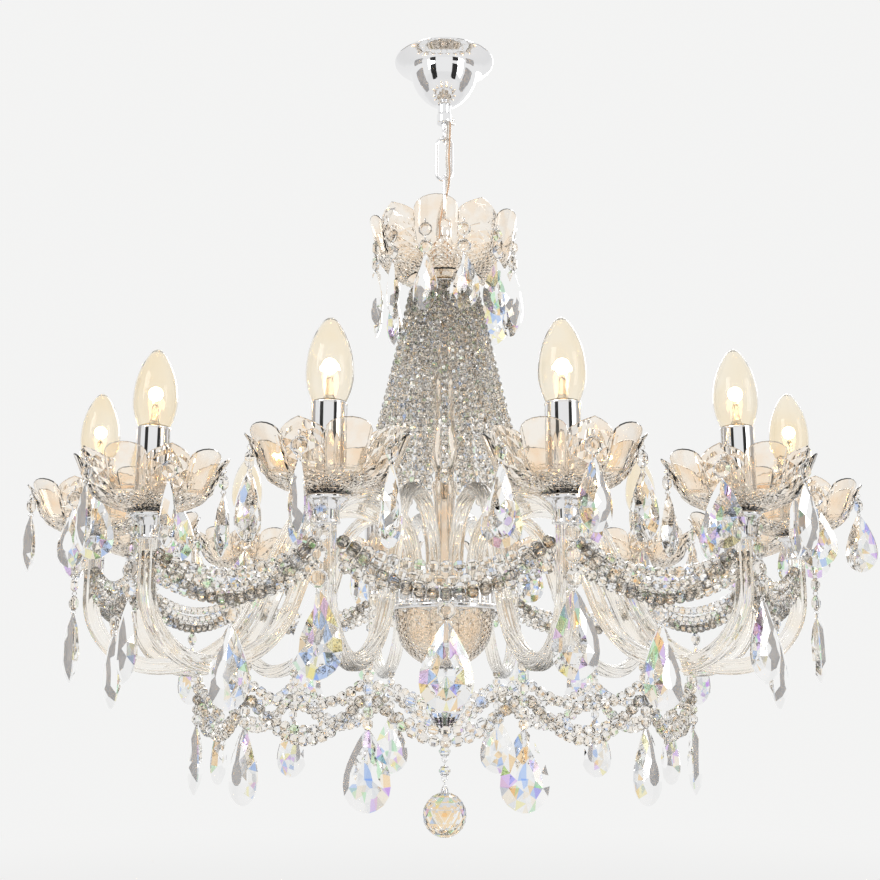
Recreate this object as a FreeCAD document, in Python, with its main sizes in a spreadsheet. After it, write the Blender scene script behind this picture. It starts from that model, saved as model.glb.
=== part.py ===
"""Twelve-arm crystal chandelier hung from a ceiling cup by two chain links.

Millimetres, +Z up. The origin is the centre of the ceiling face, so everything hangs
below it. -Y is the front. Arm 1 stands half a step to the right of the front, and the
arms go round anticlockwise as seen from above.
"""
import FreeCAD, Part
import math
import os

Vector = FreeCAD.Vector
Rotation = FreeCAD.Rotation
Placement = FreeCAD.Placement
UP = Vector(0, 0, 1)

doc = FreeCAD.newDocument("crystal_chandelier")
dims = doc.addObject("Spreadsheet::Sheet", "dims")

# alias, value, what it is
SIZES = (
    ("strap_length", 80, "ceiling strap, end to end"),
    ("strap_width", 18, "ceiling strap"),
    ("strap_metal", 2.5, "ceiling strap, sheet thickness"),
    ("strap_foot", 17, "length of each foot that lies on the ceiling"),
    ("strap_crank", 10, "how far the middle of the strap stands below its feet"),
    ("screw_spacing", 64, "between the two ceiling screws"),
    ("screw_hole", 2.6, "radius of a ceiling screw hole"),
    ("shank_radius", 2.4, "threaded shank of the eye bolt"),
    ("shank_fit", 0.2, "radial clearance round the shank"),
    ("nut_radius", 4.6, "nuts on the shank, across the corners / 2"),
    ("nut_height", 4, "nuts on the shank"),
    ("canopy_radius", 51.5, "rim of the ceiling cup"),
    ("canopy_lip", 1.5, "height of its rim"),
    ("canopy_step_radius", 35, "where the flared rim meets the bell"),
    ("canopy_step_drop", 12, "depth of that step"),
    ("canopy_base_radius", 12, "bottom of the bell"),
    ("canopy_depth", 48.5, "bottom of the bell below the ceiling"),
    ("canopy_wall", 1, "spun sheet"),
    ("ferrule_radius", 6.6, "tube under the bell"),
    ("ferrule_length", 11, "tube under the bell"),
    ("collar_radius", 7.6, "set collar that holds the cup up"),
    ("collar_height", 10, "set collar"),
    ("grub_radius", 1.3, "set screws of the collar"),
    ("grub_reach", 12.5, "how far a set screw's head stands from the axis"),
    ("seat_gap", 0.3, "gap between pieces that rest on each other"),
    ("eye_radius", 5.9, "centre line of the eyes above and below the chain"),
    ("eye_wire", 1.9, "radius of their wire"),
    ("eye_neck", 8.2, "from the collar to the centre line of the upper eye's top"),
    ("shank_top", 1.5, "top of the eye bolt below the ceiling"),
    ("block_length", 18, "terminal block"),
    ("block_width", 12, "terminal block"),
    ("block_height", 10, "terminal block"),
    ("link_length", 50, "chain link outside"),
    ("link_width", 19, "chain link outside"),
    ("link_wire", 1.7, "radius of its wire"),
    ("flex_radius", 1.7, "clear twin flex"),
    ("stem_radius", 5, "tube down the middle"),
    ("stem_wall", 1, "tube down the middle"),
    ("stem_fit", 0.4, "clearance between the stem and what is threaded on it"),
    ("coupler_radius", 6.5, "socket of the lower eye"),
    ("coupler_height", 12, "socket of the lower eye"),
    ("dish_radius", 76, "top dish, at its petals' tips"),
    ("dish_rim_drop", 180, "petal tips of the top dish below the ceiling"),
    ("dish_height", 62, "top dish"),
    ("dish_belly", 68, "radius where the top dish turns in"),
    ("dish_foot", 38, "radius of its floor"),
    ("petal_drop", 13, "valley between petals below their tips"),
    ("cup_radius", 12, "metal cups above and below the top dish"),
    ("cup_height", 7.5, "metal cups above and below the top dish"),
    ("crown_radius", 37, "disc that the bead strands hang from"),
    ("crown_metal", 1.5, "its thickness"),
    ("hub_below", 55, "top of the hub plate below the floor of the lamp bowls"),
    ("hub_radius", 52, "hub plate"),
    ("hub_metal", 5, "hub plate, thickness"),
    ("arm_ferrule", 14, "metal feet cemented to the arms, height"),
    ("ferrule_foot", 9.2, "metal feet cemented to the arms, radius"),
    ("arm_circle", 324, "radius of the circle of lamps"),
    ("arm_inner", 40, "radius of the arms' inner ends"),
    ("arm_radius", 7.25, "glass arm"),
    ("arm_arch", 59, "radius of the arch above the hub"),
    ("arm_peak_rise", 40, "centre line of the arch's top above the floor of the lamp bowls"),
    ("arm_lean", 24, "degrees that the middle of an arm leans out"),
    ("arm_low_below", 114, "centre line of the arm's lowest point below the floor of the lamp bowls"),
    ("arm_rise_radius", 60, "radius of the last bend up to the lamp"),
    ("arm_bend_radius", 86, "radius of the bend that sweeps out"),
    ("arm_top_below", 11, "outer end of the arm below the floor of the lamp bowls"),
    ("bowl_drop", 511, "floor of the lamp bowls below the ceiling"),
    ("bowl_radius", 60, "lamp bowl, at its petals' tips"),
    ("bowl_height", 44, "lamp bowl"),
    ("bowl_belly", 47, "radius where the bowl turns in"),
    ("bowl_foot", 17, "radius of the bowl's foot"),
    ("bowl_petal_drop", 9, "valley between the bowl's petals below their tips"),
    ("glass_wall", 3.5, "thickness of the bowls and dishes"),
    ("flange_radius", 15.5, "metal cup under a bowl"),
    ("flange_metal", 2, "its flange"),
    ("end_cup_radius", 9.6, "its lower end"),
    ("end_cup_height", 20, "metal cup under a bowl"),
    ("nipple_radius", 4.9, "threaded tube through the bowl"),
    ("sleeve_radius", 13, "candle sleeve"),
    ("sleeve_wall", 0.9, "candle sleeve"),
    ("sleeve_top_rise", 67.4, "top of the candle sleeve above the floor of the bowl"),
    ("holder_radius", 10.8, "lamp holder in the sleeve"),
    ("cap_radius", 6.9, "screw cap of the bulb"),
    ("cap_height", 22, "screw cap of the bulb"),
    ("bulb_radius", 17.5, "candle bulb"),
    ("bulb_neck", 12, "candle bulb, at the sleeve"),
    ("bulb_height", 64, "glass of the candle bulb"),
    ("hub_dish_radius", 49, "cut dish under the hub"),
    ("hub_dish_height", 50, "cut dish under the hub"),
    ("hub_dish_foot", 20, "cut dish under the hub"),
    ("bottom_cup_radius", 10, "metal cup under the hub dish"),
    ("bottom_cup_height", 9, "metal cup under the hub dish"),
    ("finial_radius", 19, "glass spike under the hub"),
    ("finial_height", 56, "glass spike under the hub"),
    ("finial_neck", 10, "its upper end"),
    ("rod_radius", 1.6, "tie rod through the spike"),
    ("loop_radius", 2.4, "centre line of the wire loops of the drop"),
    ("loop_wire", 0.6, "radius of their wire"),
    ("drop_bead_radius", 5.4, "two beads above the ball"),
    ("drop_bead_height", 10, "two beads above the ball"),
    ("ball_radius", 20.3, "cut ball"),
    ("ball_cap_radius", 4, "metal cap of the ball"),
    ("ball_cap_height", 7, "metal cap of the ball"),
    ("ball_cap_sink", 0.7, "how deep the cap stands in the ball"),
    ("bead_radius", 5.2, "beads of the strands and garlands"),
    ("garland_bead", 27, "beads of the garlands"),
    ("bead_gap", 0.3, "between beads of one strand"),
    ("octagon_radius", 6.9, "flat octagons above the pendants"),
    ("octagon_reach", 8.4, "half of an octagon with the pins at its ends"),
    ("octagon_half", 3.4, "half of an octagon's thickness"),
    ("pear_height", 50, "pendants of the bowls"),
    ("pear_width", 31, "pendants of the bowls"),
    ("pear_depth", 11, "pendants of the bowls"),
    ("large_pear_height", 60, "large pendants"),
    ("large_pear_width", 38, "large pendants"),
    ("large_pear_depth", 13, "large pendants"),
    ("gap_pear_below", 89, "top of the pendants between the arms below the floor of the lamp bowls"),
    ("garland_end_below", 30, "ends of the upper garlands below the floor of the lamp bowls"),
    ("arm_pear_below", 68, "top of the pendants outside the arms below the floor of the lamp bowls"),
    ("low_pear_below", 50, "top of the lowest ring of pendants below the arms' centre line"),
    ("low_circle", 228, "radius of the lowest ring of pendants"),
    ("low_garland_sag", 34, "sag of the lower garlands"),
    ("strand_top_outer", 32, "radius of the outer strands at the crown"),
    ("strand_foot_outer", 84, "radius of the outer strands at the arms"),
    ("strand_top_inner", 21, "radius of the inner strands at the crown"),
    ("strand_foot_inner", 50, "radius of the inner strands at their lower end"),
    ("strand_foot_rise", 19, "lower end of the inner strands above the arches' centre line"),
    ("strand_pitch_outer", 28, "beads of the outer strands"),
    ("strand_pitch_inner", 25, "beads of the inner strands"),
    ("dish_pendant_drop", 33, "first octagons of the top dish below its petal tips"),
    ("dish_pear_height", 55, "pendants of the top dish"),
    ("drop_pitch", 17, "beads above the pendants of the arms"),
)

ARMS = 12
STEP = 360.0 / ARMS
BOWL_PENDANTS = 5
ARM_SIDES = 6
ROUND_SIDES = 8
CANOPY_SIDES = 16
NIPPLE_SIDES = 4
BULB_SIDES = 6
HUB_SIDES = 16
WIRE_SIDES = 6
BEAD_SIDES = 3
DISH_PETALS = 10
DISH_TURN = -7
BOWL_TURN = 36
HALF = 0.5


def fill_sheet():
    """Write each size as a plain number with its alias and a note."""
    for row, (alias, value, note) in enumerate(SIZES, start=1):
        dims.set("A%d" % row, alias)
        dims.set("B%d" % row, str(value))
        dims.setAlias("B%d" % row, alias)
        dims.set("C%d" % row, note)
    doc.recompute()


def size(alias):
    return float(dims.get(alias))


fill_sheet()
S = {alias: size(alias) for alias, _, _ in SIZES}

subparts = []


def keep(obj, label):
    """Name a finished sub-part; it becomes one node."""
    obj.Label = label
    subparts.append(obj)
    return obj


def bind(obj, **expressions):
    """Bind properties to the sheet; z=... stands for the placement's height."""
    places = {"x": "Placement.Base.x", "y": "Placement.Base.y", "z": "Placement.Base.z"}
    for name, expression in expressions.items():
        obj.setExpression(places.get(name, name), expression)
    return obj


def d(expression):
    """Turn bare alias names in an expression into cells of the sheet."""
    words = {alias for alias, _, _ in SIZES}
    out = ""
    word = ""
    for letter in expression + " ":
        if letter.isalnum() or letter == "_":
            word += letter
            continue
        out += "dims." + word if word in words else word
        out += letter
        word = ""
    return out.strip()


def feature(label, shape, drop=0.0):
    """A sub-part whose shape is worked out here, hung at a depth below the ceiling."""
    obj = doc.addObject("Part::Feature", label)
    obj.Shape = shape
    obj.Placement = Placement(Vector(0, 0, -drop), Rotation())
    return keep(obj, label)


# ---------------------------------------------------------------- flat-faced solids

def polar(radius, angle, height=0.0):
    """A point at an angle from the front, anticlockwise as seen from above."""
    turn = math.radians(angle)
    return Vector(radius * math.sin(turn), -radius * math.cos(turn), height)


def ring(radius, sides, height, phase=0.0):
    return [polar(radius, phase + 360.0 * k / sides, height) for k in range(sides)]


def flat(*points):
    return Part.Face(Part.makePolygon(list(points) + [points[0]]))


def solid(faces):
    shell = Part.makeShell(faces)
    shape = Part.makeSolid(shell)
    if shape.Volume < 0:
        shape.reverse()
    return shape


def band(lower, upper):
    """Faces between two rings; a ring of one point is a tip."""
    count = max(len(lower), len(upper))
    faces = []
    for k in range(count):
        nxt = (k + 1) % count
        if len(lower) == 1:
            faces.append(flat(lower[0], upper[k], upper[nxt]))
        elif len(upper) == 1:
            faces.append(flat(lower[k], lower[nxt], upper[0]))
        else:
            faces.append(flat(lower[k], lower[nxt], upper[nxt], upper[k]))
    return faces


def turned(profile, sides, phase=0.0):
    """A solid with flat sides from (radius, height) points; radius 0 is a tip."""
    rings = []
    for radius, height in profile:
        rings.append(ring(radius, sides, height, phase) if radius else [Vector(0, 0, height)])
    faces = []
    for lower, upper in zip(rings, rings[1:]):
        faces += band(lower, upper)
    for end in (rings[0], rings[-1]):
        if len(end) > 1:
            faces.append(flat(*end))
    return solid(faces)


def turned_ring(profile, sides, phase=0.0):
    """A closed outline of (radius, height) points carried round the axis in flat facets."""
    rings = [ring(radius, sides, height, phase) for radius, height in profile]
    faces = []
    for lower, upper in zip(rings, rings[1:] + rings[:1]):
        faces += band(lower, upper)
    return solid(faces)


def wire_loop(radius, wire, sides=WIRE_SIDES, steps=12):
    """A closed ring of wire in the XZ plane, in straight steps."""
    rings = []
    for k in range(steps):
        turn = 2 * math.pi * k / steps
        out = Vector(math.cos(turn), 0, math.sin(turn))
        rings.append([
            out * radius
            + out * (wire * math.cos(2 * math.pi * s / sides))
            + Vector(0, 1, 0) * (wire * math.sin(2 * math.pi * s / sides))
            for s in range(sides)
        ])
    faces = []
    for lower, upper in zip(rings, rings[1:] + rings[:1]):
        faces += band(lower, upper)
    return solid(faces)


def oval_link(length, width, wire, sides=WIRE_SIDES, bend_steps=6):
    """An oblong chain link in the XZ plane, its middle at the origin."""
    bend = width / 2 - wire
    straight = length / 2 - wire - bend
    rings = []
    for centre, start in ((straight, 0), (-straight, 180)):
        for k in range(bend_steps + 1):
            turn = math.radians(start + 180.0 * k / bend_steps)
            out = Vector(math.cos(turn), 0, math.sin(turn))
            middle = Vector(0, 0, centre) + out * bend
            rings.append([
                middle
                + out * (wire * math.cos(2 * math.pi * s / sides))
                + Vector(0, 1, 0) * (wire * math.sin(2 * math.pi * s / sides))
                for s in range(sides)
            ])
    faces = []
    for lower, upper in zip(rings, rings[1:] + rings[:1]):
        faces += band(lower, upper)
    return solid(faces)


def placed(shape, point, turn=0.0):
    """A copy turned about Z, then moved."""
    copy = shape.copy()
    copy.Placement = Placement(point, Rotation(UP, turn))
    return copy


def around(shape, count=ARMS, start=0.0):
    """Copies of a shape turned about the chandelier's axis."""
    copies = []
    for k in range(count):
        copy = shape.copy()
        turn = Placement(Vector(), Rotation(UP, start + 360.0 * k / count))
        copy.Placement = turn.multiply(copy.Placement)
        copies.append(copy)
    return copies


def placed_around(shape, angle):
    """One copy of a shape turned about the chandelier's axis."""
    return around(shape, 1, angle)[0]


def group(shapes):
    return Part.makeCompound(shapes)


def meet(shape, start, way, gap):
    """The point a gap short of where a line from start first meets a shape."""
    far = 500.0
    hit = Part.makeLine(start, start + way * far).common(shape)
    nearest = min((vertex.Point - start).Length for vertex in hit.Vertexes)
    return start + way * (nearest - gap)


def slide_to(shape, base, way, gap):
    """Move a shape along a direction until it is a gap away from the base."""
    steps = 12
    near = 0.01
    for _ in range(steps):
        space = shape.distToShape(base)[0] - gap
        if space < near:
            break
        shape.translate(way * space)
    return shape


# ---------------------------------------------------------------- ceiling fixing

def ceiling_strap():
    """Cranked steel strap, two screw holes in its feet and one for the eye bolt."""
    body = doc.addObject("PartDesign::Body", "strap_body")
    plane = [f for f in body.Origin.OriginFeatures if f.Role == "XZ_Plane"][0]
    sketch = body.newObject("Sketcher::SketchObject", "strap_profile")
    sketch.AttachmentSupport = [(plane, "")]
    sketch.MapMode = "FlatFace"
    half = S["strap_length"] / 2
    inner = half - S["strap_foot"]
    crank = S["strap_crank"]
    metal = S["strap_metal"]
    outline = (
        (-half, 0), (-inner, 0), (-inner, -crank + metal), (inner, -crank + metal),
        (inner, 0), (half, 0), (half, -metal), (inner + metal, -metal),
        (inner + metal, -crank), (-inner - metal, -crank), (-inner - metal, -metal), (-half, -metal),
    )
    points = [Vector(x, z, 0) for x, z in outline]
    for first, second in zip(points, points[1:] + points[:1]):
        sketch.addGeometry(Part.LineSegment(first, second), False)
    pad = body.newObject("PartDesign::Pad", "strap_pad")
    pad.Profile = sketch
    pad.Midplane = True
    pad.setExpression("Length", d("strap_width"))
    holes = body.newObject("Sketcher::SketchObject", "strap_holes")
    flat_plane = [f for f in body.Origin.OriginFeatures if f.Role == "XY_Plane"][0]
    holes.AttachmentSupport = [(flat_plane, "")]
    holes.MapMode = "FlatFace"
    for x in (-S["screw_spacing"] / 2, S["screw_spacing"] / 2):
        holes.addGeometry(Part.Circle(Vector(x, 0, 0), UP, S["screw_hole"]), False)
    corner = (S["shank_radius"] + S["shank_fit"]) / math.cos(math.pi / ROUND_SIDES)
    corners = [polar(corner, 22.5 + 45 * k) for k in range(ROUND_SIDES)]
    for first, second in zip(corners, corners[1:] + corners[:1]):
        holes.addGeometry(Part.LineSegment(first, second), False)
    doc.recompute()
    before = pad.Shape.Volume
    pocket = body.newObject("PartDesign::Pocket", "strap_pocket")
    pocket.Profile = holes
    pocket.Type = "ThroughAll"
    pocket.Midplane = True
    doc.recompute()
    assert pocket.Shape.Volume < before, "the strap's holes cut nothing"
    keep(body, "ceiling_strap")


def ceiling_cup():
    """Spun bell with a flared rim and a ferrule: one sheet, open at the top."""
    wall = S["canopy_wall"]
    step = S["canopy_step_radius"]
    drop = S["canopy_step_drop"]
    depth = S["canopy_depth"]
    neck = S["ferrule_radius"]
    base = S["canopy_base_radius"]
    shoulder = (step + base) * 0.62
    outer = [
        (S["canopy_radius"], 0), (S["canopy_radius"], -S["canopy_lip"]), (step, -drop),
        (step - 1.5, -depth * 0.42), (shoulder, -depth * 0.76), (base, -depth),
        (neck, -depth), (neck, -depth - S["ferrule_length"]),
    ]
    inner = [
        (neck - wall, -depth - S["ferrule_length"]), (neck - wall, -depth + wall),
        (base - wall / 2, -depth + wall), (shoulder - wall, -depth * 0.76 + wall / 2),
        (step - 1.5 - wall, -depth * 0.42), (step - wall, -drop + wall / 2),
        (S["canopy_radius"] - wall, -S["canopy_lip"] + wall / 2), (S["canopy_radius"] - wall, 0),
    ]
    feature("canopy", turned_ring(outer + inner, CANOPY_SIDES))


def eye_bolt():
    """Threaded shank through the strap with a wire eye at its lower end."""
    top = S["shank_top"]
    shank = turned([(S["shank_radius"], -eye_top_drop()), (S["shank_radius"], -top)], ROUND_SIDES)
    eye = wire_loop(S["eye_radius"], S["eye_wire"])
    eye = placed(eye, Vector(0, 0, -eye_top_drop() - S["eye_radius"]), 90)
    feature("eye_bolt", shank.fuse(eye))


def collar_drop():
    return S["canopy_depth"] + S["ferrule_length"] + S["seat_gap"]


def eye_top_drop():
    return collar_drop() + S["collar_height"] + S["eye_neck"]


def bolt_nuts():
    """One nut above the strap and one below it."""
    height = S["nut_height"]
    bore = (S["shank_radius"] + S["shank_fit"]) / math.cos(math.pi / 6)
    wide = S["nut_radius"]
    nut = turned_ring([(bore, 0), (wide, 0), (wide, height), (bore, height)], 6)
    middle = S["strap_crank"]
    shapes = [placed(nut, Vector(0, 0, -top)) for top in (middle - S["strap_metal"], middle + height)]
    feature("bolt_nuts", group(shapes))


def terminal_block():
    """Two-way terminal block on the strap, inside the cup."""
    block = doc.addObject("Part::Box", "terminal_body")
    bind(block, Length=d("block_length"), Width=d("block_width"), Height=d("block_height"),
         x=d("nut_radius + 3"), y=d("-block_width / 2"), z=d("-strap_crank - block_height"))
    keep(block, "terminal_block")


def collar():
    """Set collar under the ferrule, with a pair of set screws on its right."""
    drop = collar_drop() + S["collar_height"]
    bore = S["shank_radius"] + S["shank_fit"]
    wide = S["collar_radius"]
    body = turned_ring([(bore, -drop), (wide, -drop), (wide, -collar_drop()), (bore, -collar_drop())], 12)
    fit = 0.1
    start = S["shank_radius"] + fit
    length = S["grub_reach"] - start
    screw = turned([(S["grub_radius"], 0), (S["grub_radius"], length)], 6)
    hole = turned([(S["grub_radius"] + fit, 0), (S["grub_radius"] + fit, length)], 6)
    sideways = Rotation(Vector(0, 1, 0), 90)
    screws = []
    for share in (0.26, 0.74):
        turn = Rotation(UP, 30).multiply(sideways)
        point = Rotation(UP, 30).multVec(Vector(start, 0, 0)) - UP * (collar_drop() + S["collar_height"] * share)
        for shape, keeper in ((screw, True), (hole, False)):
            copy = shape.copy()
            copy.Placement = Placement(point, turn)
            if keeper:
                screws.append(copy)
            else:
                body = body.cut(copy)
    feature("canopy_collar", body)
    feature("collar_screws", group(screws))


# ---------------------------------------------------------------- chain and flex

def hang(wire_above, wire_below):
    """Distance between the centre lines of two wires where one hangs on the other."""
    return wire_above + wire_below + S["seat_gap"]


def chain_drops():
    """Depth of the centre line at each place where the chain hangs, from the top down."""
    inside = S["link_length"] - 2 * S["link_wire"]
    eye_low = eye_top_drop() + 2 * S["eye_radius"]
    first_top = eye_low - hang(S["eye_wire"], S["link_wire"])
    first_low = first_top + inside
    second_top = first_low - hang(S["link_wire"], S["link_wire"])
    second_low = second_top + inside
    stem_eye_top = second_low - hang(S["link_wire"], S["eye_wire"])
    return first_top, first_low, second_top, second_low, stem_eye_top


def chain():
    """Two oblong links at right angles to each other."""
    link = oval_link(S["link_length"], S["link_width"], S["link_wire"])
    first_top, first_low, second_top, second_low, _ = chain_drops()
    for label, top, low, turn in (
        ("chain_link_upper", first_top, first_low, 0), ("chain_link_lower", second_top, second_low, 90),
    ):
        obj = doc.addObject("Part::Feature", label)
        obj.Shape = link
        obj.Placement = Placement(Vector(0, 0, -(top + low) / 2), Rotation(UP, turn))
        keep(obj, label)


# Route of the flex, chosen by hand: it leaves the collar on the right, passes in front
# of the upper link, crosses inside the lower link and comes down in front of the stem.
FLEX_ROUTE = (
    (5.0, -2.6), (4.6, -4.4), (3.4, -4.9), (4.8, -4.6),
    (1.4, -1.6), (-4.2, -3.6), (-6.4, -7.3), (-5.6, -8.4), (-5.6, -7.8),
)


def tube_along(points, radius, sides=WIRE_SIDES):
    """A tube of straight runs joined by tangent arcs, in flat facets; prints its radii."""
    share = 0.45
    arc_steps = 2
    stations = [(points[0], (points[1] - points[0]).normalize())]
    least = None
    for before, corner, after in zip(points, points[1:], points[2:]):
        way_in = (corner - before).normalize()
        way_out = (after - corner).normalize()
        turn = way_in.getAngle(way_out)
        reach = share * min((corner - before).Length, (after - corner).Length)
        bend = reach / math.tan(turn / 2)
        least = bend if least is None else min(least, bend)
        axis = way_in.cross(way_out).normalize()
        start = corner - way_in * reach
        centre = start + axis.cross(way_in) * bend
        for k in range(arc_steps + 1):
            spin = Rotation(axis, math.degrees(turn) * k / arc_steps)
            stations.append((centre + spin.multVec(start - centre), spin.multVec(way_in)))
    stations.append((points[-1], (points[-1] - points[-2]).normalize()))
    length = sum((b[0] - a[0]).Length for a, b in zip(stations, stations[1:]))
    print("flex: length %.1f mm, tightest bend %.1f mm" % (length, least))
    side = stations[0][1].cross(Vector(0, 1, 0)).normalize()
    rings = []
    for point, way in stations:
        side = (side - way * side.dot(way)).normalize()
        other = way.cross(side)
        rings.append([
            point + side * (radius * math.cos(2 * math.pi * s / sides))
            + other * (radius * math.sin(2 * math.pi * s / sides)) for s in range(sides)
        ])
    faces = [flat(*rings[0]), flat(*rings[-1])]
    for lower, upper in zip(rings, rings[1:]):
        for k in range(sides):
            nxt = (k + 1) % sides
            faces.append(flat(lower[k], lower[nxt], upper[nxt]))
            faces.append(flat(lower[k], upper[nxt], upper[k]))
    return solid(faces)


def flex():
    top = collar_drop() + S["collar_height"] + S["seat_gap"]
    low = dish_floor_drop() - S["glass_wall"] - S["seat_gap"] - S["cup_height"] - S["seat_gap"]
    count = len(FLEX_ROUTE) - 1
    points = [Vector(x, y, -top - (low - top) * k / count) for k, (x, y) in enumerate(FLEX_ROUTE)]
    feature("supply_flex", tube_along(points, S["flex_radius"]))


# ---------------------------------------------------------------- stem and centre glass

def below_lamps(alias):
    """Depth below the ceiling of what a size puts under the floor of the lamp bowls."""
    return S["bowl_drop"] + S[alias]


def above_lamps(alias):
    """Depth below the ceiling of what a size puts over the floor of the lamp bowls."""
    return S["bowl_drop"] - S[alias]


def strand_foot_drop():
    return above_lamps("arm_peak_rise") - S["strand_foot_rise"]


def low_pear_drop():
    return below_lamps("arm_low_below") + S["low_pear_below"]


def dish_floor_drop():
    return S["dish_rim_drop"] + S["dish_height"]


def stem_top_drop():
    _, _, _, _, stem_eye = chain_drops()
    return stem_eye + 2 * S["eye_radius"] + S["eye_wire"] + 4


def hub_floor_drop():
    return below_lamps("hub_below") + S["hub_metal"]


def hub_dish_floor_drop():
    return hub_floor_drop() + S["seat_gap"] + S["hub_dish_height"]


def stem():
    """Eye with a socket, and the tube that carries everything below it."""
    _, _, _, _, stem_eye = chain_drops()
    coupler_top = stem_eye + 2 * S["eye_radius"]
    coupler_low = coupler_top + S["coupler_height"]
    wide = S["coupler_radius"]
    fit = 0.05
    sides = 12
    socket = turned([(wide, -coupler_low), (wide, -coupler_top)], sides)
    bore = turned([(S["stem_radius"] + fit, -coupler_low), (S["stem_radius"] + fit, -stem_top_drop())], sides)
    eye = placed(wire_loop(S["eye_radius"], S["eye_wire"]), Vector(0, 0, -stem_eye - S["eye_radius"]))
    feature("stem_eye", socket.cut(bore).fuse(eye))

    bottom = hub_dish_floor_drop() + S["bottom_cup_height"]
    length = bottom - stem_top_drop()
    outer = S["stem_radius"]
    inner = outer - S["stem_wall"]
    tube = turned_ring([(inner, 0), (outer, 0), (outer, length), (inner, length)], sides)
    feature("stem_tube", tube, bottom)


def petal_rim(tip_radius, tip_height, valley_height, turn):
    """Rim points of a dish, petals turn about round and pointed, with each petal's start."""
    valley_radius = tip_radius * 0.965
    step = 360.0 / DISH_PETALS
    points = []
    starts = []
    for petal in range(DISH_PETALS):
        first = turn + (petal - HALF) * step
        starts.append(len(points))
        points.append(polar(valley_radius, first, valley_height))
        if petal % 2:
            points.append(polar(tip_radius, first + step / 2, tip_height))
        else:
            points.append(polar(tip_radius, first + step * 0.27, tip_height * 0.97))
            points.append(polar(tip_radius, first + step * 0.73, tip_height * 0.97))
    return points, starts


def petal_side(rim, starts, belly):
    """Faces from a petalled rim down to a plain ring with one corner at each valley."""
    faces = []
    for petal, start in enumerate(starts):
        end = starts[(petal + 1) % len(starts)]
        count = (end - start) % len(rim)
        edge = [rim[(start + k) % len(rim)] for k in range(count + 1)]
        left = belly[petal]
        right = belly[(petal + 1) % len(belly)]
        middle = 1 if count == 2 else 2
        for first, second in zip(edge[:middle], edge[1:middle + 1]):
            faces.append(flat(left, first, second))
        faces.append(flat(left, edge[middle], right))
        for first, second in zip(edge[middle:], edge[middle + 1:]):
            faces.append(flat(right, first, second))
    return faces


def petal_dish(tip, height, belly, belly_height, foot, bore, petal_drop, turn=0.0):
    """A cut-glass dish with ten petals, standing on its foot at the origin.

    The glass thins out towards the rim, where its two faces meet in a sharp edge.
    """
    wall = S["glass_wall"]
    phase = turn - HALF * 360.0 / DISH_PETALS
    rim, starts = petal_rim(tip, height, height - petal_drop, turn)
    outer = ring(belly, DISH_PETALS, belly_height, phase)
    inner = ring(belly - wall, DISH_PETALS, belly_height + wall / 2, phase)
    foot_out = ring(foot, DISH_PETALS, 0, phase)
    foot_in = ring(foot - wall / 2, DISH_PETALS, wall, phase)
    hole_low = ring(bore, DISH_PETALS, 0, phase)
    hole_high = ring(bore, DISH_PETALS, wall, phase)
    faces = petal_side(rim, starts, outer)
    faces += petal_side(rim, starts, inner)
    faces += band(foot_out, outer)
    faces += band(foot_in, inner)
    faces += band(hole_low, foot_out)
    faces += band(hole_high, foot_in)
    faces += band(hole_low, hole_high)
    return solid(faces)


def bored_bore():
    """Corner radius of an eight-sided hole that clears the stem."""
    return (S["stem_radius"] + S["stem_fit"]) / math.cos(math.pi / ROUND_SIDES)


def threaded_cup(profile):
    """A flat-sided piece threaded on the stem: its outline plus the stem's hole."""
    bore = bored_bore()
    low = profile[0][1]
    high = profile[-1][1]
    return turned_ring([(bore, low)] + profile + [(bore, high)], ROUND_SIDES, 22.5)


def centre():
    """Everything threaded on the stem from the top dish to the hub."""
    wall = S["glass_wall"]
    gap = S["seat_gap"]
    cup = S["cup_radius"]
    height = S["cup_height"]
    floor = dish_floor_drop()
    dish = petal_dish(
        S["dish_radius"], S["dish_height"], S["dish_belly"], S["dish_height"] * 0.34,
        S["dish_foot"], bored_bore() + 0.2, S["petal_drop"], DISH_TURN,
    )
    feature("top_dish", dish, floor)
    feature("upper_cup", threaded_cup([(cup, 0), (cup, height)]), floor - wall - gap)
    upper_cup = subparts[-1]
    upper_cup.Placement.Base.z = -(floor - wall - gap)
    crown_top = floor + gap + height + gap
    feature("lower_cup", threaded_cup([(cup * 0.7, 0), (cup, height)]), floor + gap + height)
    crown = threaded_cup([(S["crown_radius"], 0), (S["crown_radius"], S["crown_metal"])])
    feature("strand_crown", crown, crown_top + S["crown_metal"])

    top = crown_top + S["crown_metal"] + gap
    low = below_lamps("hub_below") - gap
    span = low - top
    shares = (("neck_glass", 0.30, 9, 13), ("middle_glass", 0.32, 10, 17), ("lower_glass", 0.38, 10, 15))
    start = top
    for label, share, slim, wide in shares:
        length = span * share - gap
        profile = [(slim, 0), (wide, length * 0.3), (slim, length * 0.62), (wide * 0.9, length)]
        feature(label, threaded_cup(profile), start + length)
        start += span * share


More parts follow.
